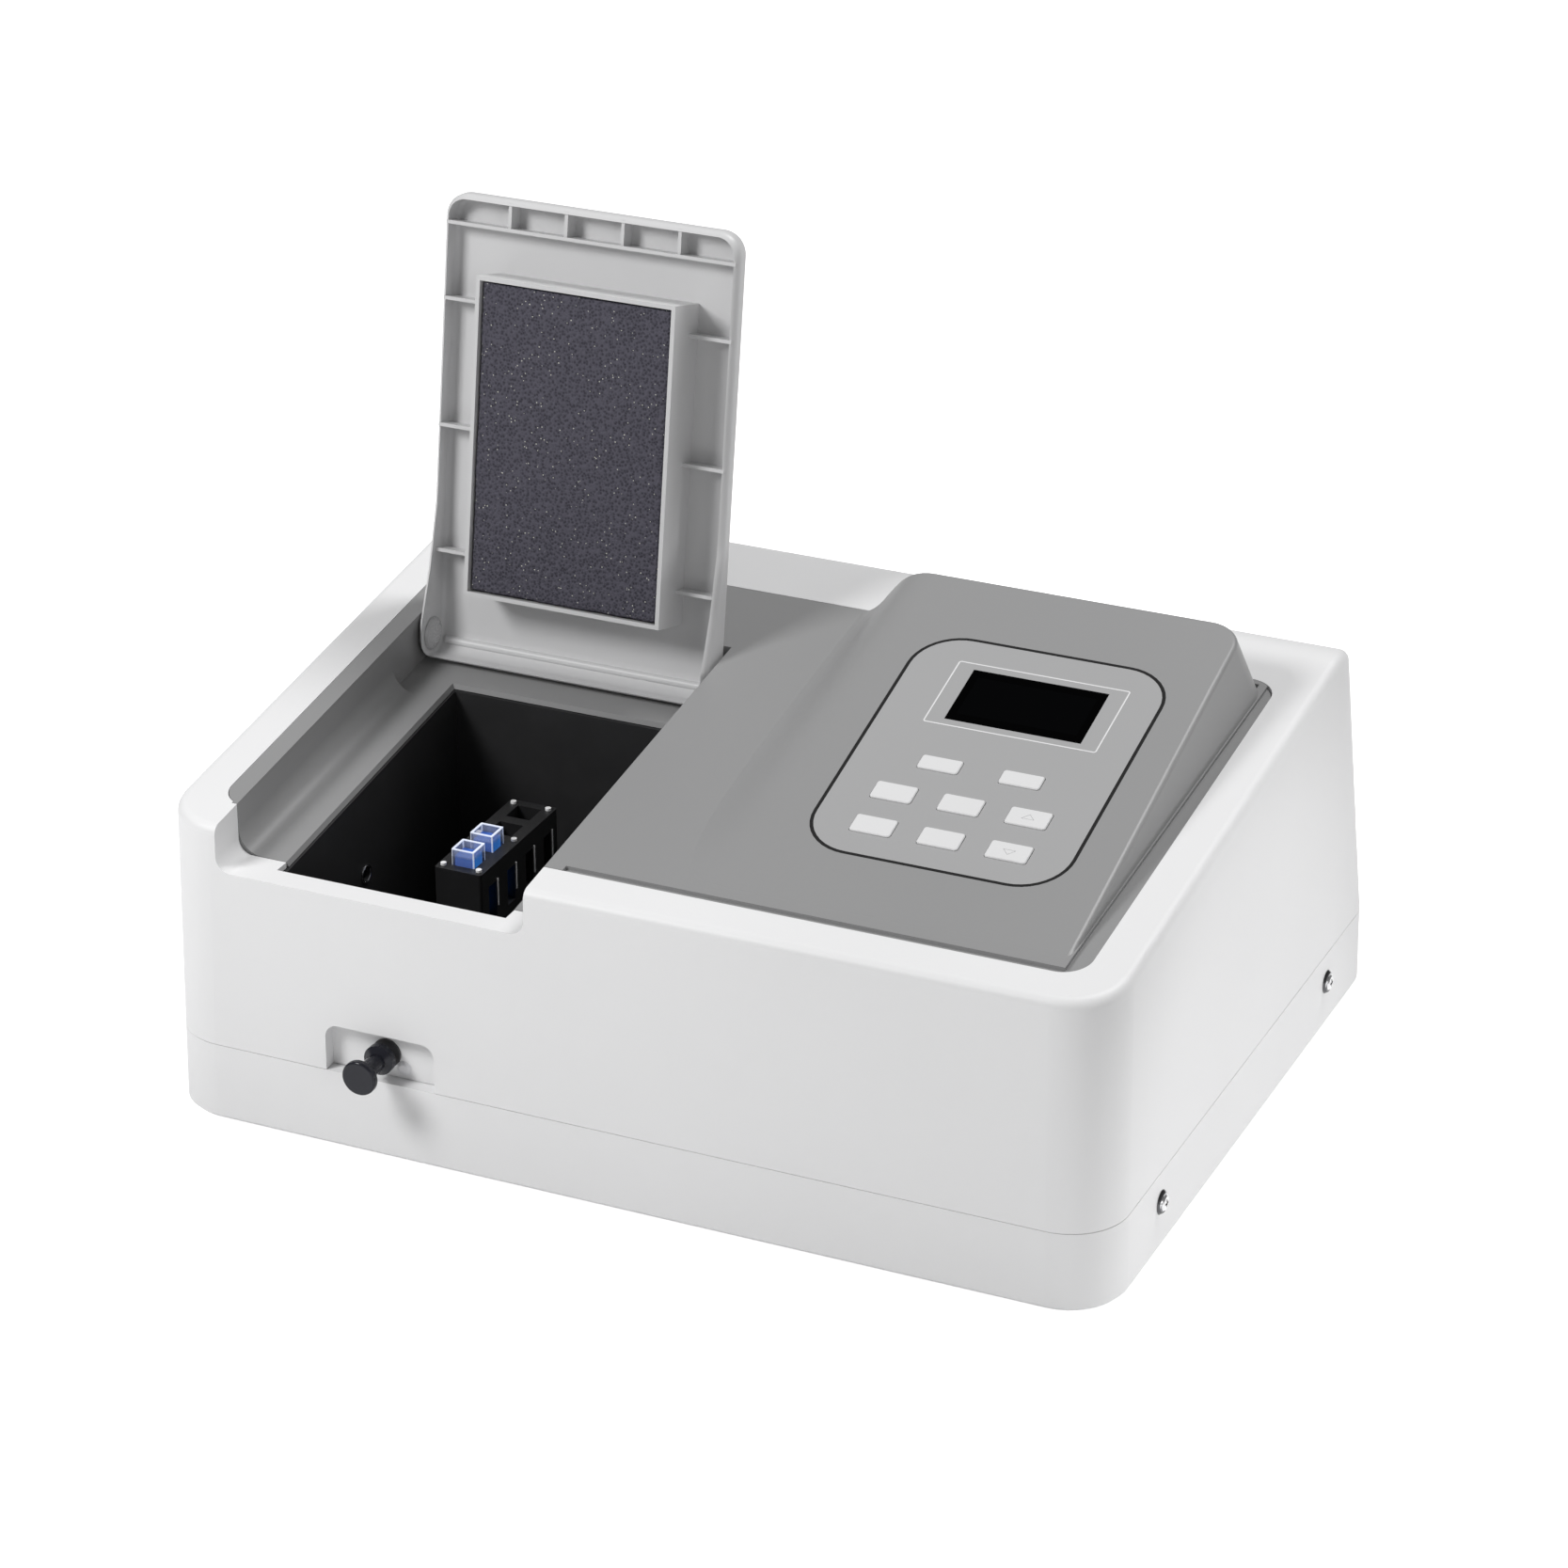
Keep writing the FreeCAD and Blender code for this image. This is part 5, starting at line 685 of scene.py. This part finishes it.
def slot_edge_highlights():
    """Pale strips on the right of the holder, one at each well, as painted highlights on the edges of the
    wells' slots.
    """
    low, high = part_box("cell_holder")
    thick, width, length = 0.5 * MM, 1.0 * MM, 15.0 * MM
    first_from_front, below_top, proud = 17.2 * MM, 16.5 * MM, 0.2 * MM
    edge_round, wells = 0.15 * MM, 4
    # Painted highlight: pale satin strips standing in for the bright slot edges.
    highlight_strip = moulded("slot_highlight_finish", (0.80, 0.80, 0.81), 0.3, 900.0, 0.01 * MM).material
    start_fresh()
    bpy.ops.mesh.primitive_cube_add(size=1.0)
    first = take(bpy.context.object, "slot_edge_highlights")
    first.data.transform(Matrix.Diagonal((thick, width, length, 1.0)))
    bevel = first.modifiers.new("rolled_edge", "BEVEL")
    bevel.width = edge_round
    bevel.segments = 2
    row = first.modifiers.new("one_per_well", "ARRAY")
    row.count = wells
    row.use_relative_offset = False
    row.use_constant_offset = True
    row.constant_offset_displace = (0.0, CELL_PITCH, 0.0)
    apply_modifiers(first)
    place = Vector((high.x + proud, low.y + first_from_front, high.z - below_top))
    put_in_mesh(first, Matrix.Translation(place))
    attach(first, highlight_strip, "cell_holder")


# Floor, light and camera

def put_lamp(name, data, place, target):
    """A lamp at a place, aimed at a target."""
    lamp = bpy.data.objects.new(name, data)
    bpy.context.scene.collection.objects.link(lamp)
    lamp.location = place
    lamp.rotation_euler = (target - lamp.location).to_track_quat("-Z", "Y").to_euler()


def pale_floor():
    """A white floor that keeps the object's shadow."""
    seen_glow, mirrored_glow = 0.9, 0.55
    start_fresh()
    bpy.ops.mesh.primitive_plane_add(size=30.0, location=(0, 0, 0))
    floor = take(bpy.context.object, "studio_floor")
    pale = Finish("studio_floor_finish")
    seen = pale.node("ShaderNodeLightPath", {}, {}, "Is Camera Ray")
    glossy = pale.node("ShaderNodeLightPath", {}, {}, "Is Glossy Ray")
    through = pale.node("ShaderNodeLightPath", {}, {}, "Is Transmission Ray")
    glow = seen * seen_glow + (glossy + through).clamped() * (1.0 - seen) * mirrored_glow
    pale.set(Base_Color=(0.80, 0.80, 0.80), Roughness=0.9, Specular_IOR_Level=0.0,
             Emission_Color=pale.blend(glow, BLACK, WHITE), Emission_Strength=1.0)
    floor.data.materials.append(pale.material)


def white_surround():
    """White behind the object, and a low even light from all sides."""
    even_light = 0.22
    world = bpy.data.worlds.new("studio_world")
    bpy.context.scene.world = world
    world.use_nodes = True
    tree = world.node_tree
    path = tree.nodes.new("ShaderNodeLightPath")
    sky = tree.nodes["Background"]
    bright = tree.nodes.new("ShaderNodeBackground")
    mix = tree.nodes.new("ShaderNodeMixShader")
    sky.inputs["Color"].default_value = (*WHITE, 1.0)
    sky.inputs["Strength"].default_value = even_light
    bright.inputs["Color"].default_value = (*WHITE, 1.0)
    tree.links.new(path.outputs["Is Camera Ray"], mix.inputs[0])
    tree.links.new(sky.outputs[0], mix.inputs[1])
    tree.links.new(bright.outputs[0], mix.inputs[2])
    tree.links.new(mix.outputs[0], tree.nodes["World Output"].inputs["Surface"])


def lamps():
    """Three soft lamps, and a narrow one that lights only the right side."""
    middle = Vector((0.0, 0.0, 0.12))
    # name, place and size in metres, power in watts
    soft = (("key_lamp", (-0.9, -1.1, 1.3), 0.5, 19.0),
            ("fill_lamp", (1.7, -1.5, 0.7), 0.8, 5.0),
            ("top_lamp", (0.5, 0.7, 1.9), 0.6, 21.0))
    for name, place, size, power in soft:
        data = bpy.data.lights.new(name, "AREA")
        data.size = size
        data.energy = power
        put_lamp(name, data, place, middle)
    snoot = bpy.data.lights.new("side_lamp", "SPOT")
    snoot.spot_size = math.radians(18.0)
    snoot.spot_blend = 0.2
    snoot.shadow_soft_size = 0.08
    snoot.energy = 32.0
    put_lamp("side_lamp", snoot, (1.7, -0.05, 0.05), Vector((0.25, 0.0, 0.0)))


def camera():
    """The camera, at the photograph's viewing angle."""
    azimuth, elevation, roll = CAMERA_AZIMUTH, CAMERA_ELEVATION, CAMERA_ROLL
    far_clip = 50.0
    back = Vector((math.sin(azimuth) * math.cos(elevation),
                   -math.cos(azimuth) * math.cos(elevation), math.sin(elevation)))
    right = (-back).cross(Vector((0, 0, 1))).normalized()
    up = right.cross(-back)
    turned_right = right * math.cos(roll) + up * math.sin(roll)
    turned_up = up * math.cos(roll) - right * math.sin(roll)
    data = bpy.data.cameras.new("camera")
    data.sensor_width = SENSOR_WIDTH
    data.lens = FOCAL_PIXELS / FRAME_PIXELS * SENSOR_WIDTH
    data.clip_end = far_clip
    eye = bpy.data.objects.new("camera", data)
    bpy.context.scene.collection.objects.link(eye)
    turn = Matrix((turned_right, turned_up, back)).transposed()
    eye.matrix_world = Matrix.Translation(CAMERA_PLACE) @ turn.to_4x4()
    bpy.context.scene.camera = eye
    bpy.context.scene.view_settings.view_transform = "Standard"


camera()
finishes = dress_nodes()
foam_pad(finishes)
display_border()
overlay_gap_shade()
for arrow_key, arrow_turn in (("key_mid_right", 0.0), ("key_low_right", math.pi)):
    attach(key_arrow(arrow_key, arrow_turn), finishes["overlay_film"], arrow_key)
beam_ring()
slot_edge_highlights()
pale_floor()
white_surround()
lamps()
